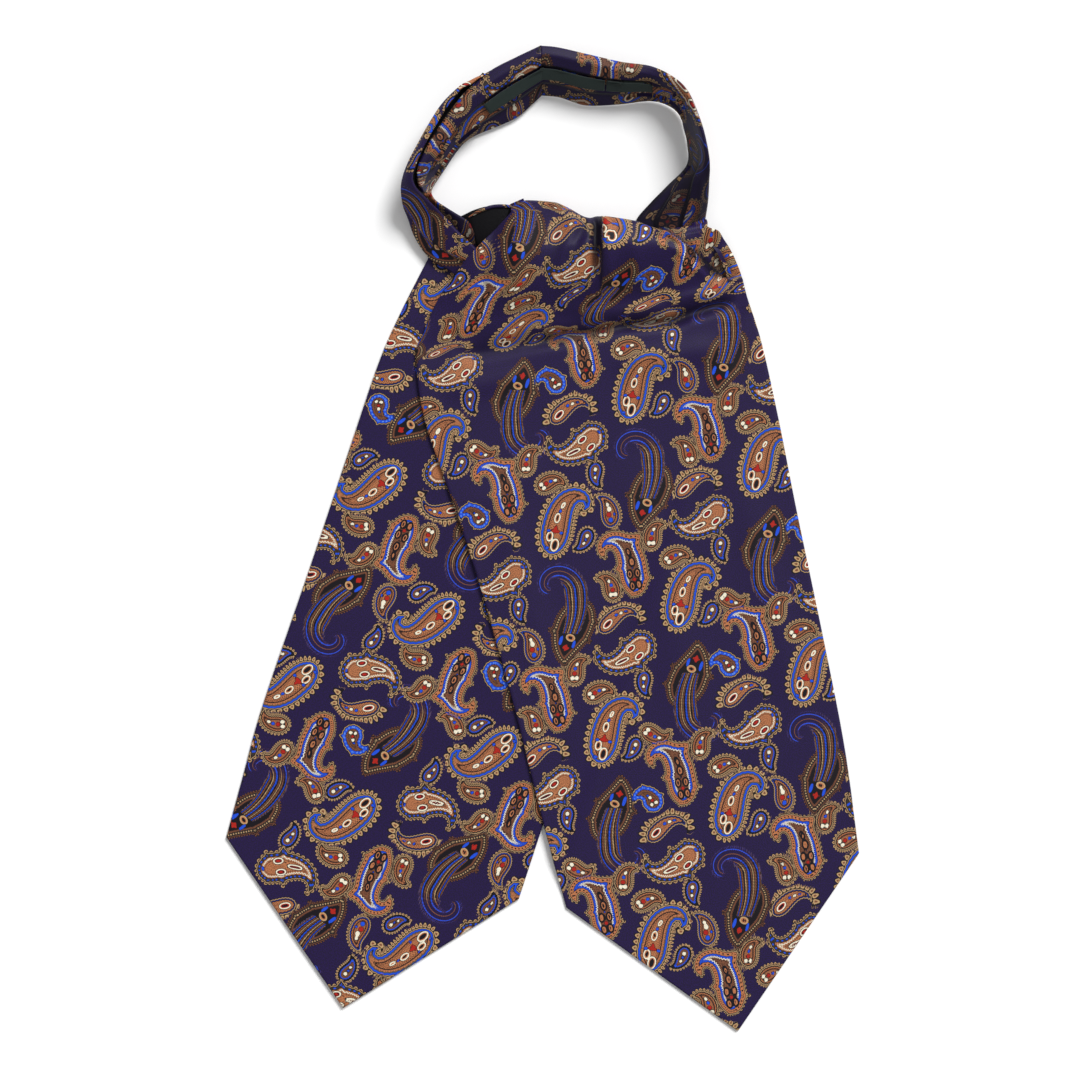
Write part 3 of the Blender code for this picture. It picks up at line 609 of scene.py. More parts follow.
@dataclass
class PrintChart:
    """Charts every kind of paisley once on a fine square, then reads it for any cloth from the repeat.

    The fields of a chart are: edge, the distance to the outline, negative inside; beads, the place along the
    fringe counted in beads; gate, 0 to 1, the side that has a fringe; core, red and blue, the distances to
    the ornaments of those layers.
    """

    half_size: float = 30.0
    step: float = 0.3
    reach: float = 29.0
    plume_reach: float = 44.0
    far: float = 30.0
    plume_centre: tuple[float, float] = (-17.3, -16.2)
    plume_from: float = 108.0
    plume_pull: float = 3.1
    plume_middle: float = 11.5
    plume_strands: tuple[float, float] = (5.0, 18.0)
    charts: dict[str, Fields] = field(default_factory=dict)

    def prepare(self) -> None:
        """Charts every kind."""
        self.charts = {kind: self.draw(form) for kind, form in FORMS.items()}

    def draw(self, form: PaisleyForm) -> Fields:
        """Works out one kind's fields: nearest segment of the outline for distance and run.

        Args:
            form: The kind of paisley.

        Returns:
            The fields on the square.
        """
        ring, runs = form.outline()
        middle = (ring.min(axis=0) + ring.max(axis=0)) / 2.0
        ring = ring - middle
        ticks = np.arange(-self.half_size, self.half_size + self.step / 2.0, self.step)
        points = np.stack(np.meshgrid(ticks, ticks, indexing="ij"), axis=-1).reshape(-1, 2)
        best, run = np.full(len(points), 1e9), np.zeros(len(points))
        inside = np.zeros(len(points), dtype=bool)
        for start, end, run_start, run_end in zip(ring, np.roll(ring, -1, 0), runs, np.roll(runs, -1)):
            side = end - start
            share = np.clip(((points - start) @ side) / (float(side @ side) + 1e-12), 0.0, 1.0)
            gap = np.hypot(*(points - start - share[:, None] * side).T)
            nearer = gap < best
            best[nearer] = gap[nearer]
            run[nearer] = (run_start + (run_end - run_start) * share)[nearer]
            crosses = (start[1] > points[:, 1]) != (end[1] > points[:, 1])
            at = start[0] + side[0] * (points[:, 1] - start[1]) / (side[1] if side[1] else 1e-12)
            inside ^= crosses & (points[:, 0] < at)
        fields = {"edge": np.where(inside, -best, best), "beads": run * form.beads}
        fields["gate"] = self.gate_field(form, points + middle)
        for layer in Layer:
            fields[layer.value] = self.ornament_field(form, layer, points + middle)
        return {name: value.reshape(len(ticks), len(ticks)) for name, value in fields.items()}

    def gate_field(self, form: PaisleyForm, points: Grid) -> Grid:
        """Share of the fringe at each point, from the side of the spine's nearest place on which it lies.

        Args:
            form: Form whose spine it is.
            points: Points, in the form's own frame.

        Returns:
            Share at each point.
        """
        away, gate = np.full(len(points), 1e9), np.ones(len(points))
        left, right = form.bead_sides
        spine, headings, _ = form.spine(np.linspace(0.0, 1.0, 60))
        for centre, angle in zip(spine, headings):
            delta = points - centre
            gap = np.hypot(*delta.T)
            side = (-math.sin(angle) * delta[:, 0] + math.cos(angle) * delta[:, 1]) / np.maximum(gap, 1e-6)
            nearer = gap < away
            away[nearer] = gap[nearer]
            gate[nearer] = (right + (left - right) * smooth_step(0.5 + 1.2 * side))[nearer]
        return gate

    def ornament_field(self, form: PaisleyForm, layer: Layer, points: Grid) -> Grid:
        """Nearest distance to the ellipses of one layer: k times (k minus 1) over the slope of k.

        Args:
            form: The kind of paisley.
            layer: Which ornaments.
            points: Where to work it out, from the head of the spine.

        Returns:
            Distance in millimetres, negative inside.
        """
        nearest = np.full(len(points), self.far)
        for place, lateral, along, across in form.ornaments.get(layer, ()):
            centre, heading, half = form.spine(np.array([place]))
            normal = np.array([-math.sin(heading[0]), math.cos(heading[0])])
            local = turned(points - (centre[0] + normal * lateral * half[0]), -heading[0])
            radius = np.hypot(local[:, 0] / along, local[:, 1] / across)
            slope = np.hypot(local[:, 0] / along**2, local[:, 1] / across**2)
            nearest = np.minimum(nearest, radius * (radius - 1.0) / np.maximum(slope, 1e-3))
        return nearest

    def read(self, chart: Fields, local: Grid) -> Fields:
        """Reads a chart between its points, in straight lines both ways.

        Args:
            chart: Fields of one form on a square grid.
            local: Places, in the form's own frame.

        Returns:
            The same fields at those places.
        """
        place = (local + self.half_size) / self.step
        low = np.clip(np.floor(place).astype(int), 0, len(chart["edge"]) - 2)
        share = np.clip(place - low, 0.0, 1.0)
        i, j, u, v = low[:, 0], low[:, 1], share[:, 0], share[:, 1]
        return {
            name: (table[i, j] * (1 - u) + table[i + 1, j] * u) * (1 - v)
            + (table[i, j + 1] * (1 - u) + table[i + 1, j + 1] * u) * v
            for name, table in chart.items()
        }

    def fields_for(self, cut: Grid) -> Fields:
        """Works out the print's fields at points of the flat cloth: each point takes its nearest paisley.

        Args:
            cut: Flat places on the printed cloth, in millimetres.

        Returns:
            The chart's fields, kind as a share from 0 to 1, and the strands that trail from each leaf.
        """
        out = {name: np.full(len(cut), self.far) for name in ("edge", "core", "red", "blue")}
        out |= {name: np.zeros(len(cut)) for name in ("beads", "gate", "kind", "strand", "sweep", "along")}
        corner = (cut - CELL_START) @ np.linalg.inv(np.stack([CELL_A, CELL_B], axis=1)).T
        low, high = np.floor(corner.min(0)).astype(int) - 1, np.ceil(corner.max(0)).astype(int) + 1
        for i in range(low[0], high[0] + 1):
            for j in range(low[1], high[1] + 1):
                for kind, along, down, degrees, mirror, cells in REPEAT:
                    if i % 2 in cells.value:
                        centre = CELL_START + (i + along) * CELL_A + (j + down) * CELL_B
                        self.add_motif(out, cut, kind, centre, math.radians(degrees), mirror)
        return out

    def add_motif(self, out: Fields, cut: Grid, kind: str, centre: Grid, angle: float, mirror: float) -> None:
        """Writes one paisley into the fields where it is the nearest one.

        Args:
            out: Fields of the cloth, changed in place.
            cut: Flat places of the cloth.
            kind: Name of the form.
            centre: Flat place of the form.
            angle: How far the form is turned.
            mirror: Minus 1 where the form is mirrored, else 1.
        """
        away = np.abs(cut - centre).max(axis=1)
        if kind == "leaf":
            wide = np.flatnonzero(away < self.plume_reach)
            self.add_strands(out, wide, turned(cut[wide] - centre, -angle))
        near = np.flatnonzero(away < self.reach)
        if not len(near):
            return
        local = turned(cut[near] - centre, -angle)
        local[:, 1] *= mirror
        values = self.read(self.charts[kind], local)
        nearer = values["edge"] < out["edge"][near]
        chosen = near[nearer]
        form = FORMS[kind]
        values["gate"] = values["gate"] * (values["edge"] < form.bead_out + 1.6 * form.bead_size)
        for name, value in values.items():
            out[name][chosen] = value[nearer]
        out["kind"][chosen] = (KINDS.index(kind) + 0.5) / len(KINDS)

    def add_strands(self, out: Fields, near: Grid, local: Grid) -> None:
        """Strands of the leaf's plume, which fan out of the leaf and wind inwards round a point beside it.

        Below that point the strand is the distance from a bowed middle line over a width that grows; above
        it, the radius plus pull times the angle.

        Args:
            out: The print's fields.
            near: Numbers of the points near the leaf.
            local: Those points in the leaf's own directions.
        """
        beside = turned(local - np.array(self.plume_centre), -math.radians(self.plume_from))
        out_x, out_y = beside[:, 0], beside[:, 1]
        angle = np.mod(np.arctan2(out_y, out_x) + 1.2, 2.0 * np.pi) - 1.2
        straight = (out_y < 0.0) & (out_x > 0.0)
        down = np.clip(-out_y / 24.0, 0.0, 1.2)
        bowed = self.plume_middle - 2.3 * down + 1.8 * np.sin(math.pi * down)
        fanned = self.plume_middle + (out_x - bowed) / (1.0 - 0.3 * smooth_step(down))
        strand = np.where(straight, fanned, np.hypot(out_x, out_y) + self.plume_pull * angle)
        strand = strand + 0.35 * np.sin(1.9 * strand)
        along = np.where(straight, out_y, 12.0 * angle)
        low, high = self.plume_strands
        low = low + 3.4 * np.clip(angle, 0.0, 1.7) * ~straight
        sweep = smooth_step((strand - low) / 0.8) * smooth_step((high - strand) / 0.8)
        sweep *= smooth_step((along + 23.0) / 2.0) * smooth_step((52.0 - along) / 12.0)
        sweep *= straight | (angle > 0.0)
        stronger = sweep > out["sweep"][near]
        for name, values in (("sweep", sweep), ("strand", strand), ("along", along)):
            out[name][near[stronger]] = values[stronger]


# Finishes


@dataclass(frozen=True)
class Signal:
    """A number or colour inside a material, so that a finish reads as formulas."""

    bench: "NodeBench"
    socket: bpy.types.NodeSocket

    def __add__(self, other: object) -> "Signal":
        """Sum."""
        return self.bench.math("ADD", self, other)

    def __sub__(self, other: object) -> "Signal":
        """Difference."""
        return self.bench.math("SUBTRACT", self, other)

    def __mul__(self, other: object) -> "Signal":
        """Product."""
        return self.bench.math("MULTIPLY", self, other)

    def __truediv__(self, other: object) -> "Signal":
        """Quotient."""
        return self.bench.math("DIVIDE", self, other)

    def sine(self, turns: float = 1.0) -> "Signal":
        """Sine of a multiple of the number."""
        return self.bench.math("SINE", self * turns if turns != 1.0 else self)

    def cosine(self) -> "Signal":
        """Cosine of the number."""
        return self.bench.math("COSINE", self)

    def left(self) -> "Signal":
        """What is left of 1."""
        return self.bench.math("SUBTRACT", 1.0, self)

    def eased(self, start: object, end: object) -> "Signal":
        """Eased share of the way from start to end."""
        inputs = {"Value": self, "From Min": start, "From Max": end}
        return self.bench.place("ShaderNodeMapRange", inputs, "Result", interpolation_type="SMOOTHSTEP")


class NodeBench:
    """Places the nodes of one material and joins them, so that a finish reads as a list of steps."""

    def __init__(self, name: str) -> None:
        """Makes an empty material of that name with a Principled shader.

        Args:
            name: Name of the material.
        """
        self.material = bpy.data.materials.new(name)
        self.material.use_nodes = True
        self.tree = self.material.node_tree
        self.shader = self.tree.nodes["Principled BSDF"]

    def fill(self, sockets: object, values: dict) -> None:
        """Joins sockets, given by name or number, to signals, or sets them to numbers or colours.

        Args:
            sockets: Sockets of one node.
            values: Signal or plain value by the socket's name or number.
        """
        for key, value in values.items():
            if isinstance(value, Signal):
                self.tree.links.new(value.socket, sockets[key])
            else:
                sockets[key].default_value = value

    def place(self, kind: str, inputs: dict, output: object = 0, **settings: object) -> Signal:
        """Places a node.

        Args:
            kind: Blender's name of the node.
            inputs: What goes into its sockets, by name or number.
            output: Name or number of the wanted output.
            settings: Its other properties.

        Returns:
            The output.
        """
        node = self.tree.nodes.new(kind)
        for name, value in settings.items():
            setattr(node, name, value)
        self.fill(node.inputs, inputs)
        return Signal(self, node.outputs[output])

    def attribute(self, name: str) -> Signal:
        """Reads a number kept at each point of the mesh."""
        return self.place("ShaderNodeAttribute", {}, "Fac", attribute_name=name)

    def math(self, operation: str, *values: object) -> Signal:
        """One sum on numbers or signals."""
        return self.place("ShaderNodeMath", dict(enumerate(values)), operation=operation)

    def mix(self, share: object, first: object, second: object) -> Signal:
        """Colour between two colours."""
        return self.place("ShaderNodeMix", {0: share, 6: first, 7: second}, 2, data_type="RGBA")

    def table(self, place: Signal, colours: list) -> Signal:
        """Looks up a colour in a table by a share from 0 to 1, with no blending between its rows.

        Args:
            place: Signal with the share.
            colours: Colours in equal steps.

        Returns:
            Signal with the colour.
        """
        found = self.place("ShaderNodeValToRGB", {0: place})
        ramp = found.socket.node.color_ramp
        ramp.interpolation = "CONSTANT"
        while len(ramp.elements) < len(colours):
            ramp.elements.new(1.0)
        for number, colour in enumerate(colours):
            ramp.elements[number].position = number / len(colours)
            ramp.elements[number].color = colour
        return found

    def parts(self, kind: str, whole: Signal) -> list[Signal]:
        """Splits a colour or a place into its three numbers, with the node of that kind."""
        first = self.place(kind, {0: whole})
        return [Signal(self, socket) for socket in first.socket.node.outputs[:3]]

    def noise(self, vector: Signal, scale: float, detail: float) -> Signal:
        """Cloudy noise."""
        return self.place("ShaderNodeTexNoise", {"Vector": vector, "Scale": scale, "Detail": detail}, "Fac")

    def cut_map(self) -> Signal:
        """Flat place on the cloth, in metres."""
        return self.place("ShaderNodeUVMap", {}, "UV", uv_map="cut")

    def finish(self, colour: Signal, height: Signal, relief: tuple[float, float], cloth: tuple) -> None:
        """Gives the shader its colour, a fine relief and its constants.

        Args:
            colour: Base colour.
            height: Height of the weave, from -1 to 1.
            relief: The weave's depth in metres, and the strength of the effect.
            cloth: Roughness, sheen, sheen's roughness and specular level.
        """
        inputs = {"Height": height, "Distance": relief[0], "Strength": relief[1]}
        normal = self.place("ShaderNodeBump", inputs, "Normal")
        names = ("Roughness", "Sheen Weight", "Sheen Roughness", "Specular IOR Level")
        self.fill(self.shader.inputs, {"Base Color": colour, "Normal": normal} | dict(zip(names, cloth)))


class PrintPainter:
    """Paints the print over its ground, layer by layer, from the fields kept at each point of the cloth."""

    def __init__(self, bench: NodeBench, ground: Signal, soft: float) -> None:
        """Reads the fields.

        Args:
            bench: Where the nodes go.
            ground: Colour of the bare cloth.
            soft: Half of the width over which one dye passes into the next, in millimetres.
        """
        self.bench = bench
        self.colour = ground
        self.soft = soft
        self.edge, self.beads, self.kind = (bench.attribute(name) for name in ("edge", "beads", "kind"))
        self.along, self.sweep = bench.attribute("along"), bench.attribute("sweep")
        self.wrap = bench.math("FRACT", self.beads) - 0.5
        self.ink = Tone.INK.linear()

    def paint(self, share: Signal, colour: object) -> None:
        """Lays a colour over what is painted so far."""
        self.colour = self.bench.mix(share, self.colour, colour)

    def tone(self, part: str) -> Signal:
        """Colour of one part of the paisley, by its kind."""
        return self.bench.table(self.kind, [FORMS[name].tones[part].linear() for name in KINDS])

    def numbers(self, rows: list) -> list[Signal]:
        """Three numbers by the kind of paisley, each from 0 to 1."""
        return self.bench.parts("ShaderNodeSeparateColor", self.bench.table(self.kind, rows))

    def line(self, value: Signal, half: float) -> Signal:
        """1 where a distance lies within half of nought, with soft edges."""
        return self.bench.math("ABSOLUTE", value).eased(half + self.soft, max(half - self.soft, 0.0))

    def floret(self, out: Signal, along: Signal, lobes: float) -> Signal:
        """Distance from a floret's middle in its radii, drawn in between three lobes."""
        plain = self.bench.math("SQRT", out * out + along * along)
        turn = self.bench.math("ARCTAN2", along, out) * 3.0
        return plain * (turn.cosine() * -lobes + 1.0)

    def feathers(self) -> tuple[Signal, Signal, Signal, Signal]:
        """Strokes of neighbouring feathers: rust and blue in turns, beaded, and sand for each fourth one.

        Returns:
            Where a stroke is, its colour, and the waves over two and over four feathers.
        """
        phase = self.bench.attribute("strand") * (2.0 * math.pi / 1.12)
        half, quarter = (phase * 0.5).cosine(), (phase * 0.25).cosine()
        beading = (self.along * 4.2 + phase).sine()
        stroke = phase.cosine().eased(-0.35, 0.15) * (beading.eased(-0.9, -0.2) * 0.55 + 0.4)
        near = self.bench.mix(half.eased(-0.1, 0.1), Tone.RUST.linear(), Tone.BLUE.linear())
        return stroke, self.bench.mix(quarter.eased(0.72, 0.85), near, Tone.SAND.linear()), half, quarter

    def strands(self) -> None:
        """Paints the plume outside a leaf: near it rust, blue and sand feathers, then thin lines."""
        cover, swing = self.along.eased(-14.0, -12.0), self.along.eased(1.0, 10.0)
        clear = self.bench.math("MAXIMUM", self.edge.eased(0.5, 1.2), cover)
        shown = self.sweep.eased(0.1, 0.7) * clear
        stroke, near, half, quarter = self.feathers()
        stroke = stroke * swing.left() + half.eased(0.55, 0.9) * swing
        far = self.bench.mix(quarter.eased(-0.9, -0.97), Tone.RUST.linear(), Tone.BLUE.linear())
        self.paint(shown * swing.left(), self.ink)
        self.paint(stroke * shown, self.bench.mix(swing, near, far))

    def fringe(self) -> None:
        """Paints the fringe outside the outline: dark rims, florets and their hearts."""
        sizes = [((FORMS[name].bead_out + 2.0) / 5.0, FORMS[name].bead_size / 5.0, 0.0, 1.0) for name in KINDS]
        out_share, size_share, _ = self.numbers(sizes)
        away = (self.edge - (out_share * 5.0 - 2.0)) / (size_share * 5.0)
        bead = self.floret(away, self.wrap / 0.38, 0.16)
        shown = self.bench.attribute("gate").eased(0.35, 0.6) * self.edge.eased(-0.1, 0.1)
        self.paint(bead.eased(1.6, 1.25) * shown, self.ink)
        self.paint(bead.eased(1.08, 0.85) * shown, self.tone("bead"))
        self.paint(bead.eased(0.6, 0.35) * shown, Tone.RUST.linear())
        self.paint(self.line(self.edge - 0.15, 0.22), self.ink)

    def zones(self) -> None:
        """Paints the zones from the outline inwards, with dark lines between them, marks and wavy lines."""
        depths = [(*(depth / 5.0 for depth in FORMS[name].zones), 1.0) for name in KINDS]
        first, second, third = (part * 5.0 for part in self.numbers(depths))
        depth = self.edge * -1.0
        scalloped = depth + self.beads.sine(2.0 * math.pi) * 0.12
        self.paint(scalloped.eased(-self.soft, self.soft), self.tone("rim"))
        for limit, part in ((0.5, "outline"), (first, "band"), (second, "channel"), (third, "fill")):
            beyond = scalloped - limit
            self.paint(beyond.eased(-self.soft, self.soft), self.tone(part))
            self.paint(self.line(beyond, 0.17), self.ink)
        checks = self.beads.sine(4.0 * math.pi) * depth.sine(2.0 * math.pi / 1.9)
        self.paint(checks.eased(0.2, 0.55) * (depth - second).eased(0.2, 0.5) * 0.75, self.ink)
        mark_out = (depth - (first + second) * 0.5) / 0.42
        mark = self.floret(mark_out, self.wrap / 0.24, 0.0).eased(1.1, 0.8)
        self.paint(mark * (second - first).eased(0.9, 1.1), self.tone("mark"))
        wave = depth - third + self.beads.sine(4.0 * math.pi) * 0.26
        self.paint(self.line(wave, 0.24), self.tone("wave"))
        self.paint(self.line(wave - 0.95, 0.14) * 0.8, self.ink)

    def leaf_veins(self) -> None:
        """Paints the feathers inside a leaf, and over its border where they leave it."""
        stroke, near, _, _ = self.feathers()
        leaf = self.numbers([(float(name == "leaf"), 0.0, 0.0, 1.0) for name in KINDS])[0]
        over = self.along.eased(-14.0, -12.0) * self.along.eased(10.0, 1.0)
        shown = self.bench.math("MAXIMUM", self.edge.eased(-2.9, -3.3), over) * leaf
        shown = shown * self.sweep.eased(0.1, 0.5)
        self.paint(shown, self.ink)
        self.paint(stroke * shown, near)

    def ornaments(self) -> None:
        """Paints what is inside the paisleys: ringed drops with a heart, blue dots and red petals."""
        core = self.bench.attribute("core")
        self.paint(core.eased(0.66, 0.45), self.ink)
        self.paint(core.eased(0.36, 0.16), self.tone("ring"))
        self.paint(core.eased(-0.26, -0.4), self.tone("core"))
        self.paint(core.eased(-0.72, -0.9), self.ink)
        for name, tone in (("blue", Tone.BLUE), ("red", Tone.RED)):
            value = self.bench.attribute(name)
            self.paint(value.eased(0.34, 0.18), self.ink)
            self.paint(value.eased(0.12, -0.08), tone.linear())


@dataclass(frozen=True)
class PrintedSilk:
    """Silk twill with the paisley print, a fine diagonal weave and painted shade in its folds, which darkens
    the print.
    """

    name: str = "printed_silk"
    cloth: tuple[float, float, float, float] = (0.5, 0.03, 0.35, 0.18)
    relief: tuple[float, float] = (0.00006, 0.35)
    twill_mm: float = 0.8
    soft: float = 0.14
    grain: float = 1900.0
    dark_ground: tuple[float, float, float, float] = (0.012, 0.006, 0.034, 1.0)
    # Near-black colour of the painted fold shade
    fold_shade: tuple[float, float, float, float] = (0.004, 0.0025, 0.008, 1.0)

    def material(self) -> bpy.types.Material:
        """Builds the material.

        Returns:
            The finished material.
        """
        bench = NodeBench(self.name)
        cut = bench.cut_map()
        grain = bench.noise(cut, self.grain, 2.0)
        ground = bench.mix(grain.eased(0.42, 0.62) * 0.75, self.dark_ground, Tone.GROUND.linear())
        painter = PrintPainter(bench, ground, self.soft)
        painter.strands()
        painter.fringe()
        painter.zones()
        painter.leaf_veins()
        painter.ornaments()
        painter.paint(grain.eased(0.6, 0.35) * 0.28, Tone.INK.linear())
        # Painted shade: the painted_shade attribute darkens the print towards fold_shade, by up to 85 per
        # cent.
        painter.paint(bench.attribute("painted_shade") * 0.85, self.fold_shade)
        warp, weft, _ = bench.parts("ShaderNodeSeparateXYZ", cut)
        ribs = (warp + weft).sine(2.0 * math.pi / (self.twill_mm * MM))
        bench.finish(painter.colour, ribs, self.relief, self.cloth)
        return bench.material


@dataclass(frozen=True)
class PlainCloth:
    """Plain cloth with a fine weave: the dark lining, the plain silk and the ribbon of the labels.

    The numbers of cloth are roughness, sheen, sheen's roughness and specular level.
    """

    name: str
    colour: Colour
    bright: Colour
    cloth: tuple[float, float, float, float]
    rib_mm: float
    relief: float = 0.00008

    def material(self) -> bpy.types.Material:
        """Builds the material.

        Returns:
            The finished material.
        """
        bench = NodeBench(self.name)
        cut = bench.cut_map()
        turns = 2.0 * math.pi / (self.rib_mm * MM)
        warp, weft, _ = bench.parts("ShaderNodeSeparateXYZ", cut)
        weave = warp.sine(turns) * weft.sine(turns)
        share = weave * 0.15 + bench.noise(cut, 90.0, 3.0)
        colour = bench.mix(share * 0.8, (*self.colour, 1.0), (*self.bright, 1.0))
        bench.finish(colour, weave, (self.relief, 0.5), self.cloth)
        return bench.material


DARK_LINING = PlainCloth(
    "dark_lining_silk", (0.0012, 0.001, 0.002), (0.003, 0.0025, 0.004), (0.5, 0.02, 0.4, 0.12), 0.5
)
PLAIN_SILK = PlainCloth(
    "plain_navy_silk", (0.012, 0.009, 0.03), (0.02, 0.015, 0.05), (0.36, 0.15, 0.4, 0.4), 0.5
)
RIBBON = PlainCloth(
    "label_ribbon", (0.010, 0.019, 0.017), (0.016, 0.028, 0.025), (0.6, 0.1, 0.4, 0.25), 0.6, 0.00015
)


# Meshes


@dataclass
class Sheet:
    """One cloth surface: its points, flat places, faces, and the painted shade at each point, 0 to 1, which
    darkens its print in folds.
    """

    points: Grid
    cut: Grid
    faces: list
    painted_shade: Grid | None = None

    def show(
        self, name: str, material: bpy.types.Material, chart: PrintChart | None = None
    ) -> bpy.types.Object:
        """Makes the mesh, with its flat map and the print's fields.

        Args:
            name: Name of the piece.
            material: Its finish.
            chart: The print, or None for plain cloth.

        Returns:
            The new object, at the origin.
        """
        mesh = bpy.data.meshes.new(name)
        mesh.from_pydata(((self.points - PLAN_SHIFT) * MM).tolist(), [], self.faces)
        corners = np.empty(len(mesh.loops), dtype=np.int32)
        mesh.loops.foreach_get("vertex_index", corners)
        flat = mesh.uv_layers.new(name="cut")
        flat.data.foreach_set("uv", (self.cut[corners] * MM).astype(np.float32).ravel())
        if chart is not None:
            fields = chart.fields_for(self.cut)
            fields["painted_shade"] = np.zeros(len(self.points)) if self.painted_shade is None else self.painted_shade
            for field_name, values in fields.items():
                layer = mesh.attributes.new(field_name, "FLOAT", "POINT")
                layer.data.foreach_set("value", values.astype(np.float32))
        mesh.shade_smooth()
        mesh.materials.append(material)
        item = bpy.data.objects.new(name, mesh)
        bpy.context.scene.collection.objects.link(item)
        return item


def grid_faces(number: Grid) -> Grid:
    """Four-cornered faces of a grid of numbered points."""
    corners = [number[:-1, :-1], number[:-1, 1:], number[1:, 1:], number[1:, :-1]]
    return np.stack(corners, axis=-1).reshape(-1, 4)


def faces_down(face: Grid) -> bool:
    """Whether a grid's own normals face the table at its middle."""
    return surface_normals(face)[face.shape[0] // 2, face.shape[1] // 2, 2] < 0.0


def open_sheet(face: Grid, cut: Grid, painted_shade: Grid) -> Sheet:
    """A single layer of cloth, with its faces turned away from the table.

    Args:
        face: Points on a grid.
        cut: Flat places on the same grid.
        painted_shade: Painted fold shade at each point, 0 to 1.

    Returns:
        The layer.
    """
    faces = grid_faces(np.arange(painted_shade.size).reshape(painted_shade.shape))
    if faces_down(face):
        faces = faces[:, ::-1]
    return Sheet(face.reshape(-1, 3), cut.reshape(-1, 2), faces.tolist(), painted_shade.ravel())


def soft_wall(
    face: Grid, cut: Grid, thickness: float, edge: float = 0.8, painted_shade: Grid | None = None
) -> Sheet:
    """A closed wall of cloth with round edges.

    Each side stands off the middle by half the wall times the root of 1 less (1 less e) squared.

    Args:
        face: Points of the outer side.
        cut: Flat places of those points.
        thickness: Wall.
        edge: Distance from the border over which the wall rounds off; e is the share of it.
        painted_shade: Painted fold shade at each point of the outer side, 0 to 1.

    Returns:
        The closed surface; its border points are shared by both sides.
    """
    normals = upward_normals(face)
    along, across = running_length(face, 0), running_length(face, 1)
    border = np.minimum(np.minimum(along, along[-1:] - along), np.minimum(across, across[:, -1:] - across))
    half = np.sqrt(1.0 - (1.0 - np.clip(border / edge, 0.0, 1.0)) ** 2)[..., None] * thickness / 2.0
    middle = face - normals * thickness / 2.0
    top, back = middle + normals * half, middle - normals * half
    back[..., 2] = np.maximum(back[..., 2], TABLE_GAP)
    inner = np.zeros(border.shape, dtype=bool)
    inner[1:-1, 1:-1] = True
    number = np.arange(inner.size).reshape(inner.shape)
    back_number = number.copy()
    back_number[inner] = inner.size + np.arange(inner.sum())
    faces = np.vstack([grid_faces(number), np.roll(grid_faces(back_number)[:, ::-1], 1, axis=1)])
    if faces_down(face):
        faces = faces[:, ::-1]
    points = np.vstack([top.reshape(-1, 3), back[inner]])
    flat = np.vstack([cut.reshape(-1, 2), cut[inner] * np.array([1.0, -1.0]) + np.array(BACK_OF_CLOTH)])
    # Painted shade: the back side gets a flat 0.3.
    shade_amount = None if painted_shade is None else np.concatenate([painted_shade.ravel(), np.full(int(inner.sum()), 0.3)])
    return Sheet(points, flat, faces.tolist(), shade_amount)


def hemmed(face: Grid, cut: Grid, radius: float, turn: float, steps: int) -> tuple[Grid, Grid]:
    """Adds the hem to a blade: the cloth goes round both sides and the pointed end, and lies back underneath.

    Past an edge the cloth follows a half circle of the radius, then runs inwards.

    Args:
        face: Upper face; row 0 is the pointed end.
        cut: Flat places.
        radius: Radius of the turned edge.
        turn: Length of cloth laid back under the edge.
        steps: Rows added on each side.

    Returns:
        The larger grid of points and its flat places.
    """
    rows, columns = face.shape[:2]
    round_edge = math.pi * radius
    arc = np.append(np.linspace(0.0, round_edge, steps - 1)[1:], [round_edge + 1.0, round_edge + turn])
    angle = np.minimum(arc / radius, math.pi)
    inward = np.maximum(arc - round_edge, 0.0) - radius * np.sin(angle)
    hem = np.stack([inward, radius * (1.0 - np.cos(angle)), arc])
    column = np.concatenate([np.zeros(len(arc), int), np.arange(columns), np.full(len(arc), columns - 1)])
    row = np.concatenate([np.zeros(len(arc), int), np.arange(rows)])
    over_columns = np.hstack([hem[:, ::-1], np.zeros((3, columns)), hem])
    over_rows = np.hstack([hem[:, ::-1], np.zeros((3, rows))])
    column_in, column_down, column_arc = over_columns[:, None, :, None]
    row_in, row_down, row_arc = over_rows[:, :, None, None]
    side = np.zeros_like(face)
    side[:, 0] = face[:, 1] - face[:, 0]
    side[:, -1] = face[:, -2] - face[:, -1]
    side /= np.maximum(np.linalg.norm(side, axis=2, keepdims=True), 1e-9)
    end = face[1] - face[0]
    end /= np.linalg.norm(end, axis=1, keepdims=True)
    sideways, endways = side[row][:, column], end[column][None]
    points = face[row][:, column] + sideways * column_in + endways * row_in
    points = points - upward_normals(face)[row][:, column] * np.maximum(row_down, column_down)
    points[..., 2] = np.maximum(points[..., 2], TABLE_GAP)
    flat = cut[row][:, column] - sideways[..., :2] * column_arc - endways[..., :2] * row_arc
    return points, flat


def lining_under(face: Grid, cut: Grid, every: int = 4, clear: float = 0.4, thickness: float = 0.8) -> Sheet:
    """A coarser wall that lies clear below a face: each height is the lowest near it, less the clearance.

    Args:
        face: The face that it lies under.
        cut: Flat places of the face.
        every: How many points of the face make one of the lining.
        clear: Least space between both.
        thickness: Wall.

    Returns:
        The closed surface.
    """
    low = face[..., 2].copy()
    for _ in range(every + 2):
        wide = np.pad(low, 1, mode="edge")
        low = np.minimum.reduce([low, wide[:-2, 1:-1], wide[2:, 1:-1], wide[1:-1, :-2], wide[1:-1, 2:]])
    lowered = np.dstack([face[..., :2], np.maximum(low - clear, thickness + 0.1)])
    picked = (slice(every, -2, every), slice(every, -every, every))
    return soft_wall(lowered[picked], cut[picked], thickness)


# Pieces


class Slot(Enum):
    """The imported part's material slots."""

    BLADE = "blade_silk"
    BAND = "band_silk"
    LINING = "dark_lining"
    LABEL = "woven_label"


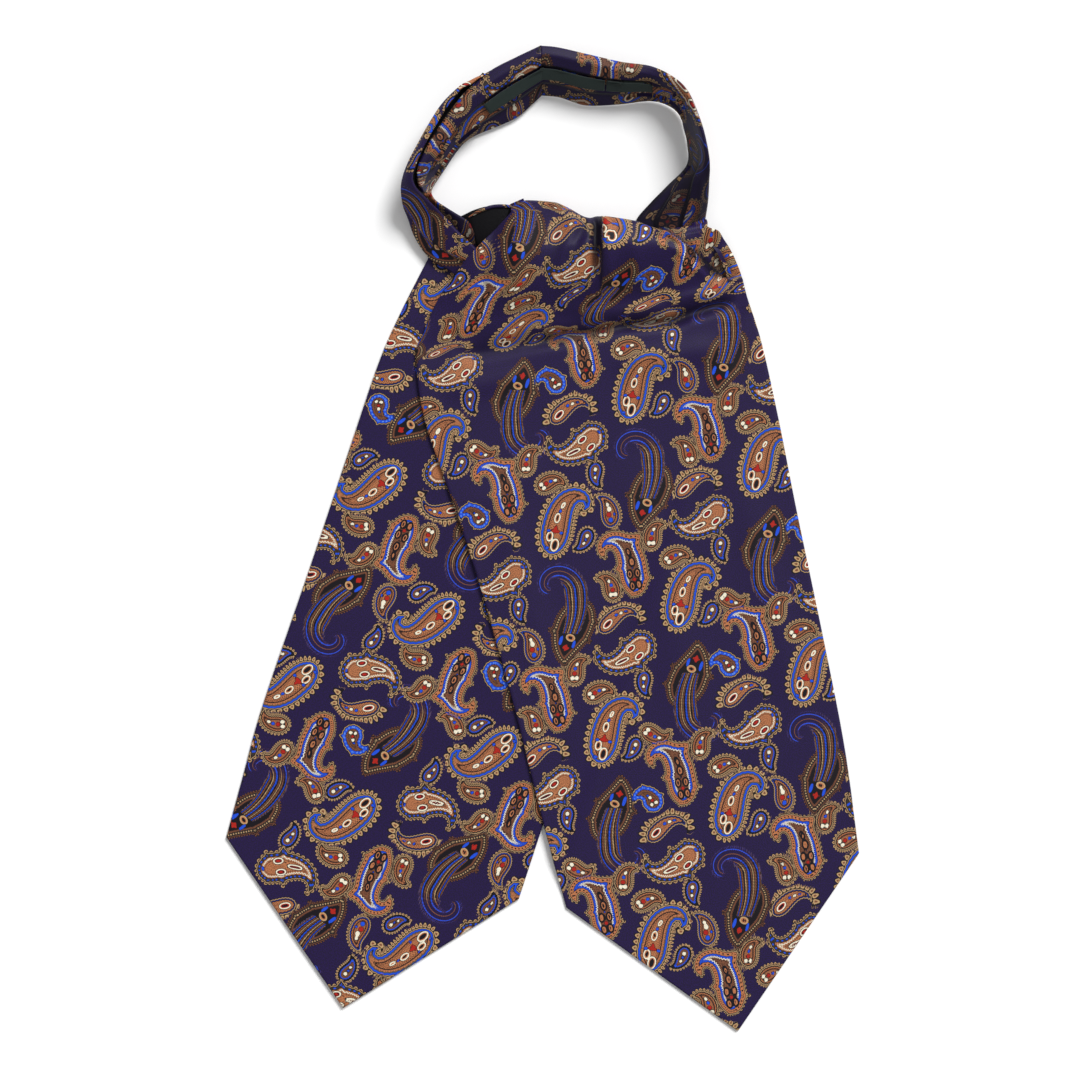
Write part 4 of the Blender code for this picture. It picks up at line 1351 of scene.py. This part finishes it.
class Held(Enum):
    """How a free cloth is held."""

    FOLDED = "folded"
    LAID = "laid"


@dataclass(frozen=True)
class FlatCut:
    """Flat size of a cloth in metres, its area, how it is held and what it rests on."""

    size: tuple[float, float]
    area: float
    rests_on: tuple[str, ...] = ()
    held: Held = Held.FOLDED


@dataclass
class Piece:
    """What every piece of the cravat needs to take its place in the frame."""

    chart: PrintChart
    silk: bpy.types.Material
    step: float = 0.94

    def settle(
        self,
        sheet: Sheet,
        name: str,
        node: str,
        slot: Slot,
        plain: PlainCloth | None = None,
        cut: FlatCut | None = None,
    ) -> None:
        """Shows a surface as a piece that rides with the frame and stands for its node.

        Args:
            sheet: The surface.
            name: Name of the piece.
            node: The node that it stands for.
            slot: Its material slot; not used.
            plain: Its finish, or None for the printed silk.
            cut: Its flat size, where the cloth lies free; not used.
        """
        item = sheet.show(name, plain.material() if plain else self.silk, None if plain else self.chart)
        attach(item, "root")
        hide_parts(node)
        area = np.empty(len(item.data.polygons), dtype=np.float32)
        item.data.polygons.foreach_get("area", area)
        log.info("%s: %d faces, %.5f square metres", name, len(area), float(area.sum()))


@dataclass
class Blade(Piece):
    """What both blades share: a plan straight between its edges, a pointed end, a hem and a lining."""

    wall: float = 1.6
    point_depth: float = 77.0
    point_way: tuple[float, float] = (0.165, -0.986)
    point_rows: float = 2.4
    hem_radius: float = 0.72
    hem_turn: float = 7.0
    hem_steps: int = 6

    def plan(self, rows: Grid, numbers: Grid, across: Grid) -> Grid:
        """Plan of the blade: straight between its edges, with a pointed end.

        Args:
            rows: Both edges' places in plan, row by row.
            numbers: Number of each row, from the point.
            across: Shares of the way across.

        Returns:
            Places in plan on the grid of rows by shares.
        """
        share = across[None, :, None]
        plan = rows[:, None, 0:2] * (1.0 - share) + rows[:, None, 2:4] * share
        depth = self.point_depth * np.clip(1.0 - numbers / self.point_rows, 0.0, 1.0)
        peak = 1.0 - np.abs(2.0 * across - 1.0)
        return plan + depth[:, None, None] * peak[None, :, None] * np.array(self.point_way)

    def painted_shade(self, face: Grid) -> Grid:
        """Painted fold shade at each point: a blade without folds has none."""
        return np.zeros(face.shape[:2])

    def dress(
        self, node: str, face: Grid, cut: Grid, lined: int, silk_cut: FlatCut, lining_cut: FlatCut
    ) -> None:
        """Makes the printed silk with its hem, and the lining below its first rows.

        Args:
            node: The node that both stand for, which begins their names.
            face: Upper face.
            cut: Flat places.
            lined: How many rows have the lining below them.
            silk_cut: Flat size of the silk.
            lining_cut: Flat size of the lining.
        """
        points, flat = hemmed(face, cut, self.hem_radius, self.hem_turn, self.hem_steps)
        silk = open_sheet(points, flat, self.painted_shade(points))
        self.settle(silk, node + "_silk", node, Slot.BLADE, cut=silk_cut)
        lining = lining_under(face[:lined], cut[:lined])
        self.settle(lining, node + "_lining", node, Slot.LINING, DARK_LINING, lining_cut)


@dataclass
class FrontBlade(Blade):
    """The blade on top: pointed at its foot, bulged and pleated at its top, and rolled over there."""

    width: float = 155.0
    over_under: float = 2.4
    edge_margin: float = 8.0
    soft_edge: float = 14.0
    under_edge_low: tuple[float, float] = (0.5, -142.3)
    under_edge_high: tuple[float, float] = (81.2, 108.7)
    pleat_left_x: float = 29.5
    pleat_rise: float = 2.6
    pleat_edge: float = 1.6
    pleat_tuck: float = 9.0
    pleat_from_y: float = 118.0
    trough_tuck: float = 13.0
    trough_slip: float = 15.0

    def over_under_blade(self, x: Grid, y: Grid) -> Grid:
        """Height kept over the under blade, eased down to the table beyond its edge.

        Args:
            x: Places in plan, across.
            y: Places in plan, up.

        Returns:
            Height at each place.
        """
        low, high = np.array(self.under_edge_low), np.array(self.under_edge_high)
        direction = (high - low) / np.linalg.norm(high - low)
        beyond = (x - low[0]) * direction[1] - (y - low[1]) * direction[0]
        return self.over_under * smooth_step(1.0 - (beyond - self.edge_margin) / self.soft_edge)

    def pleat_shares(self, x: Grid, y: Grid) -> tuple[Grid, Grid, Grid]:
        """How far a point lies past the middle pleat's left edge, past its right edge, and up its length."""
        left = smooth_step((x - self.pleat_left_x) / self.pleat_edge + 0.5)
        right = smooth_step((line_height(PLEAT_RIGHT_LINE, x) - y) / self.pleat_edge + 0.5)
        return left, right, smooth_step((y - 112.0) / 38.0)

    def laid(self, numbers: Grid, across: Grid) -> Grid:
        """Upper face from the pointed end to where the roll over the top begins.

        Args:
            numbers: Number of each row, from the point.
            across: Shares of the way across.

        Returns:
            Points on the grid of rows by shares.
        """
        rows = rows_between(FRONT_ROWS, numbers)
        plan = self.plan(rows, numbers, across)
        fold, roll = np.array(TOP_FOLD), np.array(TOP_ROLL)
        scallop = curve_through(fold[:, 0], fold[:, 1], across, level=True)[:, 0]
        radius = curve_through(roll[:, 0], roll[:, 1], across)[:, 0]
        near_top = smooth_step((numbers - (len(FRONT_ROWS) - 2.6)) / 1.6)
        plan[..., 1] += near_top[:, None] * (scallop - radius)[None, :]
        places = np.linspace(0.0, 1.0, 5)
        rises = np.stack([curve_through(places, row, across, level=True)[:, 0] for row in rows[:, 4:9]])
        x, y = plan[..., 0], plan[..., 1]
        left, right, fade = self.pleat_shares(x, y)
        height = self.wall + self.over_under_blade(x, y) + np.maximum(rises, 0.0)
        height += self.pleat_rise * left * right * fade
        return np.dstack([x, y, np.maximum(height + soft_creases(x, y, CREASES), self.wall)])

    def face(self) -> tuple[Grid, Grid, int]:
        """Upper face with its roll over the top, and its flat places.

        The roll is a half circle about its axis, then a straight part back. The flat places advance along
        each column by the length on the cloth, and jump where a pleat or the trough hides some.

        Returns:
            Points, flat places and how many rows lie before the roll.
        """
        numbers = rows_a_step_apart(self.laid, len(FRONT_ROWS), self.step, 240)
        across = np.linspace(0.0, 1.0, int(self.width / self.step))
        laid = self.laid(numbers, across)
        roll = np.array(TOP_ROLL)
        radius, back = curve_through(roll[:, 0], roll[:, 1:], across).T
        angles = np.append(np.linspace(0.0, np.pi, 16)[1:], np.full(8, np.pi))[:, None]
        shares = np.append(np.zeros(15), np.linspace(0.0, 1.0, 9)[1:])[:, None]
        rolled = np.repeat(laid[-1:], len(angles), axis=0)
        rolled[..., 1] += radius * np.sin(angles) - back * shares
        rolled[..., 2] -= radius * (1.0 - np.cos(angles))
        face = np.vstack([laid, rolled])
        steps = np.diff(laid[..., :2], axis=0)
        direction = steps / np.maximum(np.linalg.norm(steps, axis=2, keepdims=True), 1e-9)
        direction = np.concatenate([direction, np.repeat(direction[-1:], len(rolled), axis=0)])
        length = np.linalg.norm(np.diff(face, axis=0), axis=2, keepdims=True)
        cut = np.concatenate([face[:1, :, :2], face[:1, :, :2] + np.cumsum(direction * length, axis=0)])
        left, right, _ = self.pleat_shares(face[..., 0], face[..., 1])
        shown = smooth_step((face[..., 1] - self.pleat_from_y) / 14.0)
        past = face[..., 1] - line_height(TROUGH_LINE, face[..., 0])
        cut[..., 0] -= self.pleat_tuck * (1.0 - left) * shown
        cut[..., 0] -= self.trough_slip * smooth_step(past / 35.0)
        cut[..., 1] += self.pleat_tuck * (1.0 - right) * shown
        cut[..., 1] += self.trough_tuck * smooth_step((past + 3.0) / 15.0)
        return face, cut, len(laid)

    def painted_shade(self, face: Grid) -> Grid:
        """Painted shade at each point: in the troughs from the creases' depth there, in lines along both edges
        of the middle pleat, left of its left edge and beside its right edge on the shoulder.

        Args:
            face: Points of the upper face.

        Returns:
            Painted shade at each point, as a share.
        """
        x, y = face[..., 0], face[..., 1]
        shade_amount = 0.95 * smooth_step(-soft_creases(x, y, CREASES) / 3.8)
        left, right, _ = self.pleat_shares(x, y)
        shown = smooth_step((y - self.pleat_from_y) / 14.0)
        shade_amount += 3.2 * left * (1.0 - left) * shown * right
        before = self.pleat_left_x - x
        shade_amount += 0.6 * np.exp(-np.maximum(before, 0.0) / 7.0) * (before > 0.0) * smooth_step((y - 132.0) / 24.0)
        past = y - line_height(PLEAT_RIGHT_LINE, x)
        along = smooth_step((x - 58.0) / 12.0) * smooth_step((97.0 - x) / 8.0)
        shade_amount += 3.2 * right * (1.0 - right) * shown * smooth_step((x - 40.0) / 12.0)
        return shade_amount + 0.85 * np.exp(-np.maximum(past, 0.0) / 3.2) * (past > 0.0) * along

    def build(self) -> None:
        """Makes the printed silk with its hem, and the lining inside it."""
        face, cut, lined = self.face()
        silk_cut = FlatCut((0.172, 0.475), 0.068, ("under_blade_silk",))
        lining_cut = FlatCut((0.155, 0.44), 0.06, ("under_blade_silk",))
        self.dress("front_blade", face, cut, lined, silk_cut, lining_cut)


@dataclass
class UnderBlade(Blade):
    """The blade below: flat on the table, with soft waves, its cloth on the bias of the other blade."""

    width: float = 150.0
    wave: float = 0.5
    point_depth: float = 72.0
    point_way: tuple[float, float] = (-0.207, -0.978)
    print_turn: float = 144.0
    print_from: tuple[float, float] = (-72.5, -4.8)

    def laid(self, numbers: Grid, across: Grid) -> Grid:
        """Plan of the blade from its pointed end to where it is hidden."""
        return self.plan(rows_between(UNDER_ROWS, numbers), numbers, across)

    def waved(self, plan: Grid) -> Grid:
        """Upper face over a plan, with soft waves: the product of a sine and a cosine of the place."""
        x, y = plan[..., 0], plan[..., 1]
        wave = 0.5 + 0.5 * np.sin(x / 31.0 + y / 57.0) * np.cos(y / 43.0 - x / 71.0)
        return np.dstack([x, y, self.wall + self.wave * wave])

    def build(self) -> None:
        """Makes the printed silk with its hem, and the lining inside it."""
        numbers = rows_a_step_apart(self.laid, len(UNDER_ROWS), self.step, 240)
        face = self.waved(self.laid(numbers, np.linspace(0.0, 1.0, int(self.width / self.step))))
        serpent = CELL_START + 0.54 * CELL_A
        cut = turned(face[..., :2] - np.array(self.print_from), -math.radians(self.print_turn)) + serpent
        silk_cut = FlatCut((0.166, 0.36), 0.056, held=Held.LAID)
        lining_cut = FlatCut((0.15, 0.34), 0.045, held=Held.LAID)
        self.dress("under_blade", face, cut, len(face), silk_cut, lining_cut)


@dataclass(frozen=True)
class Strip:
    """A stretch of the band: its node, rows, place and turn on the printed cloth, flat size and fan of painted
    shade.

    The fan gives the row numbers where the painted shade of the folds under the blade begins and is full.
    """

    node: str
    rows: tuple
    start: tuple[float, float]
    turn: float
    cut: FlatCut
    fan: tuple[float, float] = (20.0, 21.0)

    def flat(self, along: Grid, sideways: Grid) -> Grid:
        """Flat places from the lengths along the strip's middle and across it."""
        flat = np.dstack([np.broadcast_to(along[:, None], sideways.shape), sideways])
        return turned(flat, math.radians(self.turn)) + np.array(self.start)


@dataclass
class Neckband(Piece):
    """The loop: both inner faces with their pleats, the turn with its outer face up, what shows behind it."""

    wall: float = 1.8
    low_z: float = 2.0
    crown: float = 1.2
    # Pleats: place across, step towards the viewer, cloth hidden in the pleat
    pleats: tuple = ((0.30, 1.3, 9.0), (0.66, 1.5, 13.0))
    pleat_width: float = 0.05
    # Painted shade laid over the whole inner face of the band, 0 to 1
    shade: float = 0.34
    edge_start: float = 0.86
    narrow: float = 4.0
    broad: float = 20.0
    step: float = 0.8

    def band_face(self, table: tuple, numbers: Grid, across: Grid) -> Grid:
        """Inner face from its low inner edge to its high outer edge, crowned, with a step at each pleat.

        Args:
            table: Rows of the band's two edges.
            numbers: Number of each row.
            across: Shares of the way across.

        Returns:
            Points on the grid of rows by shares.
        """
        rows = rows_between(table, numbers)
        low = np.concatenate([rows[:, 3:5], np.full((len(rows), 1), self.low_z)], axis=1)[:, None]
        share = across[None, :, None]
        face = low * (1.0 - share) + rows[:, None, 0:3] * share
        relief = self.crown * np.sin(np.pi * across)
        for place, size, _ in self.pleats:
            relief = relief + size * smooth_step((across - place) / self.pleat_width + 0.5)
        total = sum(size for _, size, _ in self.pleats)
        relief = relief - total * smooth_step((across - self.edge_start) / (1.0 - self.edge_start))
        width = np.linalg.norm(rows[:, 0:2] - rows[:, 3:5], axis=1)
        strength = smooth_step((width - self.narrow) / (self.broad - self.narrow))
        return face + upward_normals(face) * relief[None, :, None] * strength[:, None, None]

    def painted_shade(self, numbers: Grid, across: Grid, fan: tuple[float, float]) -> Grid:
        """Painted shade on the inner face: a base shade, more below each pleat's step with a dark line on it,
        more at its low edge, and striped in the fan under the blade.

        Args:
            numbers: Row numbers.
            across: Places across the band.
            fan: Row numbers where the painted shade of the folds under the blade begins and is full.

        Returns:
            Painted shade from 0 to 1 for each point.
        """
        shade_amount = np.full_like(across, self.shade)
        for place, _, _ in self.pleats:
            below = np.clip((place - across) / 0.16, 0.0, 1.0)
            shade_amount += 0.5 * (1.0 - below) ** 2 * (across < place)
            # Painted shade: a dark line over each pleat's step.
            shade_amount[np.abs(across - place) < 0.034] = 1.1
        shade_amount = shade_amount + 0.25 * smooth_step(1.0 - across / 0.2)
        folded = smooth_step((numbers - fan[0]) / (fan[1] - fan[0]))
        fan_shade_stripes = 0.5 + 0.5 * np.cos(across[None, :] * 13.0 + numbers[:, None] * 0.6)
        return shade_amount[None, :] + folded[:, None] * (0.36 + 0.3 * fan_shade_stripes)

    def half(self, strip: Strip) -> None:
        """Makes one half of the loop, cut with some cloth hidden in each pleat.

        Args:
            strip: Half to be made.
        """
        numbers = rows_a_step_apart(partial(self.band_face, strip.rows), len(strip.rows), self.step, 200)
        across = np.linspace(0.0, 1.0, 44)
        face = self.band_face(strip.rows, numbers, across)
        sideways = running_length(face, 1)
        share = smooth_step((sideways[:, -1:] - 9.0) / 15.0)
        for place, _, hidden in self.pleats:
            sideways = sideways + share * hidden * (across > place)[None, :]
        cut = strip.flat(running_length(face[:, len(across) // 2]), sideways)
        sheet = soft_wall(face, cut, self.wall, painted_shade=self.painted_shade(numbers, across, strip.fan))
        self.settle(sheet, strip.node + "_silk", strip.node, Slot.BAND, cut=strip.cut)

    def between_edges(self, strip: Strip, count: int) -> tuple[Grid, Grid, Grid, Grid]:
        """Surface of a strip between two edges given in space.

        Args:
            strip: The strip.
            count: Points across.

        Returns:
            Row numbers, places across, points and flat places.
        """
        trial = np.linspace(0.0, len(strip.rows) - 1.0, 200)
        rows = rows_between(strip.rows, trial)
        numbers = even_numbers(running_length((rows[:, 0:3] + rows[:, 3:6]) / 2.0), trial, self.step)
        rows = rows_between(strip.rows, numbers)
        across = np.linspace(0.0, 1.0, count)
        share = across[None, :, None]
        face = rows[:, None, 0:3] * (1.0 - share) + rows[:, None, 3:6] * share
        return numbers, across, face, strip.flat(running_length(face[:, count // 2]), running_length(face, 1))

    def turn(self) -> None:
        """Makes the strip with its outer face up, whose pleat opens towards the crossing, with painted shade
        on the outer part beside the pleat.
        """
        cut_size = FlatCut((0.026, 0.09), 0.0015, ("under_blade_silk",))
        strip = Strip("neckband_turn", TURN_ROWS, (25.3, 62.8), -100.0, cut_size)
        numbers, across, face, cut = self.between_edges(strip, 30)
        progress = smooth_step((numbers - 9.0) / 7.0)[:, None]
        place = 0.05 + 0.45 * progress
        inside = smooth_step((across[None, :] - place) / 0.06 + 0.5)
        face[..., 2] += 1.2 * inside * progress + 0.7 * np.sin(np.pi * across)[None, :]
        cut = cut + (inside * progress)[..., None] * np.array([6.0, -4.0])
        past = (place - across[None, :]) / 0.3
        # Painted shade beside the pleat, growing towards the crossing.
        shade_amount = 0.35 * progress * np.clip(1.0 - past, 0.0, 1.0) ** 2 * (past > 0.0)
        sheet = soft_wall(face, cut, self.wall * 0.9, painted_shade=shade_amount)
        self.settle(sheet, "neckband_turn_silk", strip.node, Slot.BAND, cut=strip.cut)

    def back_pleat(self) -> None:
        """Makes the pleat behind the turn, with painted shade growing towards the crossing."""
        cut_size = FlatCut((0.02, 0.035), 0.0003, ("under_blade_silk",))
        strip = Strip("neckband_back_pleat", BACK_PLEAT_ROWS, (5.0, 5.0), 15.0, cut_size)
        _, _, face, cut = self.between_edges(strip, 12)
        # Painted shade, from 0.35 at the top row to 1 at the crossing.
        shade_amount = np.broadcast_to(np.linspace(0.35, 1.0, len(face))[:, None], face.shape[:2])
        sheet = soft_wall(face, cut, 1.4, painted_shade=shade_amount)
        self.settle(sheet, "neckband_back_pleat_silk", strip.node, Slot.BAND, cut=strip.cut)

    def shade_pocket(self) -> None:
        """Makes a near-black sheet in the pocket where the left half folds over to its outer face: painted
        shade for that recess.
        """
        inner = rows_between(LEFT_ROWS, np.linspace(0.0, 6.8, 60))[:, 0:3]
        outer = rows_between(TURN_ROWS, np.linspace(11.0, 0.4, 60))[:, 3:6]
        side = outer - inner
        side[:, 2] = 0.0
        side /= np.maximum(np.linalg.norm(side, axis=1, keepdims=True), 1e-6)
        down = np.array([0.0, 0.0, 1.0])
        lines = [
            inner - 1.6 * side - 1.9 * down,
            0.7 * inner + 0.3 * outer - 5.5 * down,
            0.3 * inner + 0.7 * outer - 5.5 * down,
            outer + 1.8 * side - 1.9 * down,
        ]
        face = curve_through(np.arange(4), np.stack(lines).reshape(4, -1), np.linspace(0.0, 3.0, 13))
        face = face.reshape(13, 60, 3)
        sheet = soft_wall(face, own_lengths(face), 1.0)
        cut = FlatCut((0.016, 0.08), 0.001, ("neckband_left_silk",))
        # The near-black lining cloth here is painted shade for the recess.
        self.settle(sheet, "neckband_shade_pocket_silk", "neckband_turn", Slot.LINING, DARK_LINING, cut)

    def build(self) -> None:
        """Makes both halves, the near-black shade sheet in the pocket, the turn and the pleat behind it."""
        over_blade = ("front_blade_silk",)
        left_cut = FlatCut((0.04, 0.11), 0.0026, over_blade)
        right_cut = FlatCut((0.05, 0.21), 0.0052, over_blade)
        self.half(Strip("neckband_left", LEFT_ROWS, (20.0, 40.0), 35.0, left_cut))
        self.half(Strip("neckband_right", RIGHT_ROWS, (130.0, -30.0), 20.0, right_cut, (7.6, 9.4)))
        self.shade_pocket()
        self.turn()
        self.back_pleat()


@dataclass
class TopFoldLining(Piece):
    """The dark lining seen beside the top fold, and the rolled printed edge above it."""

    roll_radius: float = 0.9
    length_count: int = 30
    width_count: int = 24
    sides: int = 16

    def build(self) -> None:
        """Makes the lining and the rolled edge."""
        count = self.length_count
        rows = rows_between(LINING_ROWS, np.linspace(0.0, len(LINING_ROWS) - 1.0, count))
        share = np.linspace(0.0, 1.0, self.width_count)[None, :, None]
        high = rows[:, 0:3] + np.array([-0.6, 1.7, 0.3])
        face = high[:, None] * (1.0 - share) + rows[:, None, 3:6] * share
        face[..., 0] += np.linspace(-4.5, 0.0, count)[:, None]
        face[:6, :, 2] -= np.linspace(2.0, 0.0, 6)[:, None]
        sheet = soft_wall(face, own_lengths(face), 1.2)
        cut = FlatCut((0.029, 0.022), 0.0005, ("front_blade_silk",))
        self.settle(sheet, "turned_lining_silk", "turned_lining", Slot.LINING, DARK_LINING, cut)
        self.rolled_edge(rows[:, 0:3] + np.array([-0.5, 1.5, 0.4]))

    def rolled_edge(self, centre: Grid) -> None:
        """Makes the rolled edge: rings round a line, whose radius tapers as the root of 1 less a cube.

        Args:
            centre: Line in the middle of the roll.
        """
        count, sides = self.length_count, self.sides
        along = np.gradient(centre, axis=0)
        along /= np.linalg.norm(along, axis=1, keepdims=True)
        side = np.cross(along, np.array([0.0, 0.0, 1.0]))
        side /= np.linalg.norm(side, axis=1, keepdims=True)
        up = np.cross(side, along)
        angles = np.linspace(0.0, 2.0 * np.pi, sides + 1)[:-1][None, :, None]
        from_middle = np.abs(np.linspace(-1.0, 1.0, count))
        taper = self.roll_radius * np.sqrt(np.clip(1.0 - from_middle**3, 0.02, 1.0))
        around = np.cos(angles) * side[:, None] + np.sin(angles) * up[:, None]
        rings = centre[:, None] + taper[:, None, None] * around
        number = np.arange(count * sides).reshape(count, sides)
        after = np.roll(number, -1, axis=1)
        faces = np.stack([number[1:], after[1:], after[:-1], number[:-1]], axis=-1).reshape(-1, 4).tolist()
        faces += [[a, b, count * sides] for a, b in zip(after[0].tolist(), number[0].tolist())]
        faces += [[a, b, count * sides + 1] for a, b in zip(number[-1].tolist(), after[-1].tolist())]
        points = np.vstack([rings.reshape(-1, 3), rings[0].mean(axis=0), rings[-1].mean(axis=0)])
        flat = np.vstack([own_lengths(rings).reshape(-1, 2), np.zeros((2, 2))]) + np.array([3.0, 30.0])
        # Painted shade of 0.2 all over the rolled edge.
        sheet = Sheet(points, flat, faces, np.full(len(flat), 0.2))
        self.settle(sheet, "turned_edge_silk", "turned_edge", Slot.BAND)


@dataclass
class Labels(Piece):
    """The main label over the centre-back seam and the care tag beside it, both bare ribbon."""

    band: Neckband | None = None
    wall: float = 1.0
    lift: float = 0.7
    main_across: tuple[float, float] = (0.40, 0.64)
    main_start: tuple[float, float] = (-31.0, 220.0)
    main_end: tuple[float, float] = (31.5, 230.0)
    tag_across: tuple[float, float] = (0.40, 0.66)
    tag_start: tuple[float, float] = (32.2, 230.0)
    tag_end: tuple[float, float] = (55.1, 226.0)

    def nearest_row(self, table: tuple, point: tuple[float, float]) -> float:
        """Row number at which the middle of the band passes nearest to a point in plan.

        Args:
            table: Rows of the band's two edges.
            point: Point in plan.

        Returns:
            Row number, with its fraction.
        """
        numbers = np.linspace(0.0, len(table) - 1.0, 600)
        rows = rows_between(table, numbers)
        middle = (rows[:, 0:2] + rows[:, 3:5]) / 2.0
        return float(numbers[np.argmin(np.linalg.norm(middle - np.array(point), axis=1))])

    def ribbon(self, name: str, node: str, stretches: tuple, across_range: tuple[float, float]) -> None:
        """Makes a ribbon that lies on the band's inner face.

        Args:
            name: Name of the piece.
            node: The node that it stands for.
            stretches: Rows of a table with its first and last row number.
            across_range: Its two edges, as places across the band.
        """
        wide = np.linspace(0.0, 1.0, 81)
        picked = (wide >= across_range[0]) & (wide <= across_range[1])
        faces = []
        for table, first, last in stretches:
            whole = self.band.band_face(table, np.linspace(first, last, 60), wide)
            faces.append((whole + upward_normals(whole) * (self.lift + self.wall))[:, picked])
        face = np.vstack(faces)
        self.settle(soft_wall(face, own_lengths(face), self.wall, 0.5), name, node, Slot.LABEL, RIBBON)

    def build(self) -> None:
        """Makes both labels."""
        left = self.nearest_row(LEFT_ROWS, self.main_start)
        right = self.nearest_row(RIGHT_ROWS, self.main_end)
        stretches = ((LEFT_ROWS, left, len(LEFT_ROWS) - 1.02), (RIGHT_ROWS, 0.02, right))
        self.ribbon("neck_label_ribbon", "neck_label", stretches, self.main_across)
        start, end = self.nearest_row(RIGHT_ROWS, self.tag_start), self.nearest_row(RIGHT_ROWS, self.tag_end)
        self.ribbon("care_tag_ribbon", "care_tag", ((RIGHT_ROWS, start, end),), self.tag_across)


@dataclass
class CrossingFolds(Piece):
    """The folded layers of the band hidden under the front blade."""

    blade: FrontBlade | None = None
    row_range: tuple[float, float] = (7.5, 9.15)
    across_range: tuple[float, float] = (0.20, 0.93)
    clearance: float = 1.2
    above_under: float = 0.6

    def build(self) -> None:
        """Makes one rounded fold with soft ridges where its layers lie."""
        blade = self.blade
        face = blade.laid(np.linspace(*self.row_range, 40), np.linspace(*self.across_range, 60))
        side, end = np.linspace(-1.0, 1.0, 60)[None, :], np.linspace(-1.0, 1.0, 40)[:, None]
        rounding = (1.0 - 0.6 * side**6) * (1.0 - 0.55 * end**6)
        left, right, fade = blade.pleat_shares(face[..., 0], face[..., 1])
        room = face[..., 2] - blade.wall - self.clearance - blade.pleat_rise * left * right * fade
        foot = blade.over_under + self.above_under
        face[..., 2] = foot + (room - foot) * rounding - 0.3 * (0.5 + 0.5 * np.sin(end * 14.0 + side * 2.0))
        sheet = soft_wall(face, own_lengths(face), 1.4)
        cut = FlatCut((0.11, 0.034), 0.0025, ("under_blade_silk",))
        self.settle(sheet, "crossing_folds_silk", "crossing_layers", Slot.LINING, PLAIN_SILK, cut)


# Studio


@dataclass
class Studio:
    """White table, camera straight above at the photograph's distance, soft light from the upper right."""

    height: float = 2.2
    centre: tuple[float, float] = (-0.0014, -0.00044)
    frame_width: float = 0.5476
    sensor: float = 36.0
    floor_size: float = 3.0
    sun_from: tuple[float, float, float] = (0.42, 0.72, 0.70)
    sun_strength: float = 3.5
    sun_softness: float = 0.45
    sky: float = 0.46

    def floor(self) -> None:
        """Lays the table top."""
        half = self.floor_size / 2.0
        mesh = bpy.data.meshes.new("table_top")
        corners = [(-half, -half, 0.0), (half, -half, 0.0), (half, half, 0.0), (-half, half, 0.0)]
        mesh.from_pydata(corners, [], [(0, 1, 2, 3)])
        bench = NodeBench("table_white")
        bench.shader.inputs["Base Color"].default_value = (0.94, 0.94, 0.94, 1.0)
        bench.shader.inputs["Roughness"].default_value = 0.9
        bench.shader.inputs["Specular IOR Level"].default_value = 0.1
        mesh.materials.append(bench.material)
        item = bpy.data.objects.new("table_top", mesh)
        bpy.context.scene.collection.objects.link(item)

    def camera(self) -> None:
        """Hangs the camera; its lens is the sensor times the height over the frame's width."""
        data = bpy.data.cameras.new("overhead_camera")
        data.sensor_width = self.sensor
        data.lens = self.sensor * self.height / self.frame_width
        item = bpy.data.objects.new("overhead_camera", data)
        item.location = (self.centre[0], self.centre[1], self.height)
        bpy.context.scene.collection.objects.link(item)
        bpy.context.scene.camera = item

    def sun(self) -> None:
        """Hangs the soft far lamp at the upper right, so that the table is lit evenly."""
        data = bpy.data.lights.new("far_softbox", "SUN")
        data.energy = self.sun_strength
        data.angle = self.sun_softness
        item = bpy.data.objects.new("far_softbox", data)
        item.rotation_euler = (-Vector(self.sun_from)).to_track_quat("-Z", "Y").to_euler()
        bpy.context.scene.collection.objects.link(item)

    def build(self) -> None:
        """Sets the whole studio."""
        self.floor()
        self.camera()
        self.sun()
        world = bpy.data.worlds.new("studio_air")
        world.use_nodes = True
        sky = world.node_tree.nodes["Background"]
        sky.inputs["Color"].default_value = (1.0, 1.0, 1.0, 1.0)
        sky.inputs["Strength"].default_value = self.sky
        bpy.context.scene.world = world
        bpy.context.scene.view_settings.view_transform = "Standard"


def main() -> None:
    """Builds the cravat's looks and the studio."""
    logging.basicConfig(level=logging.INFO)
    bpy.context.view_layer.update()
    Studio().build()
    chart = PrintChart()
    chart.prepare()
    silk = PrintedSilk().material()
    front = FrontBlade(chart, silk)
    front.build()
    UnderBlade(chart, silk).build()
    band = Neckband(chart, silk)
    band.build()
    TopFoldLining(chart, silk).build()
    Labels(chart, silk, band=band).build()
    CrossingFolds(chart, silk, blade=front).build()


if __name__ == "__main__":
    main()
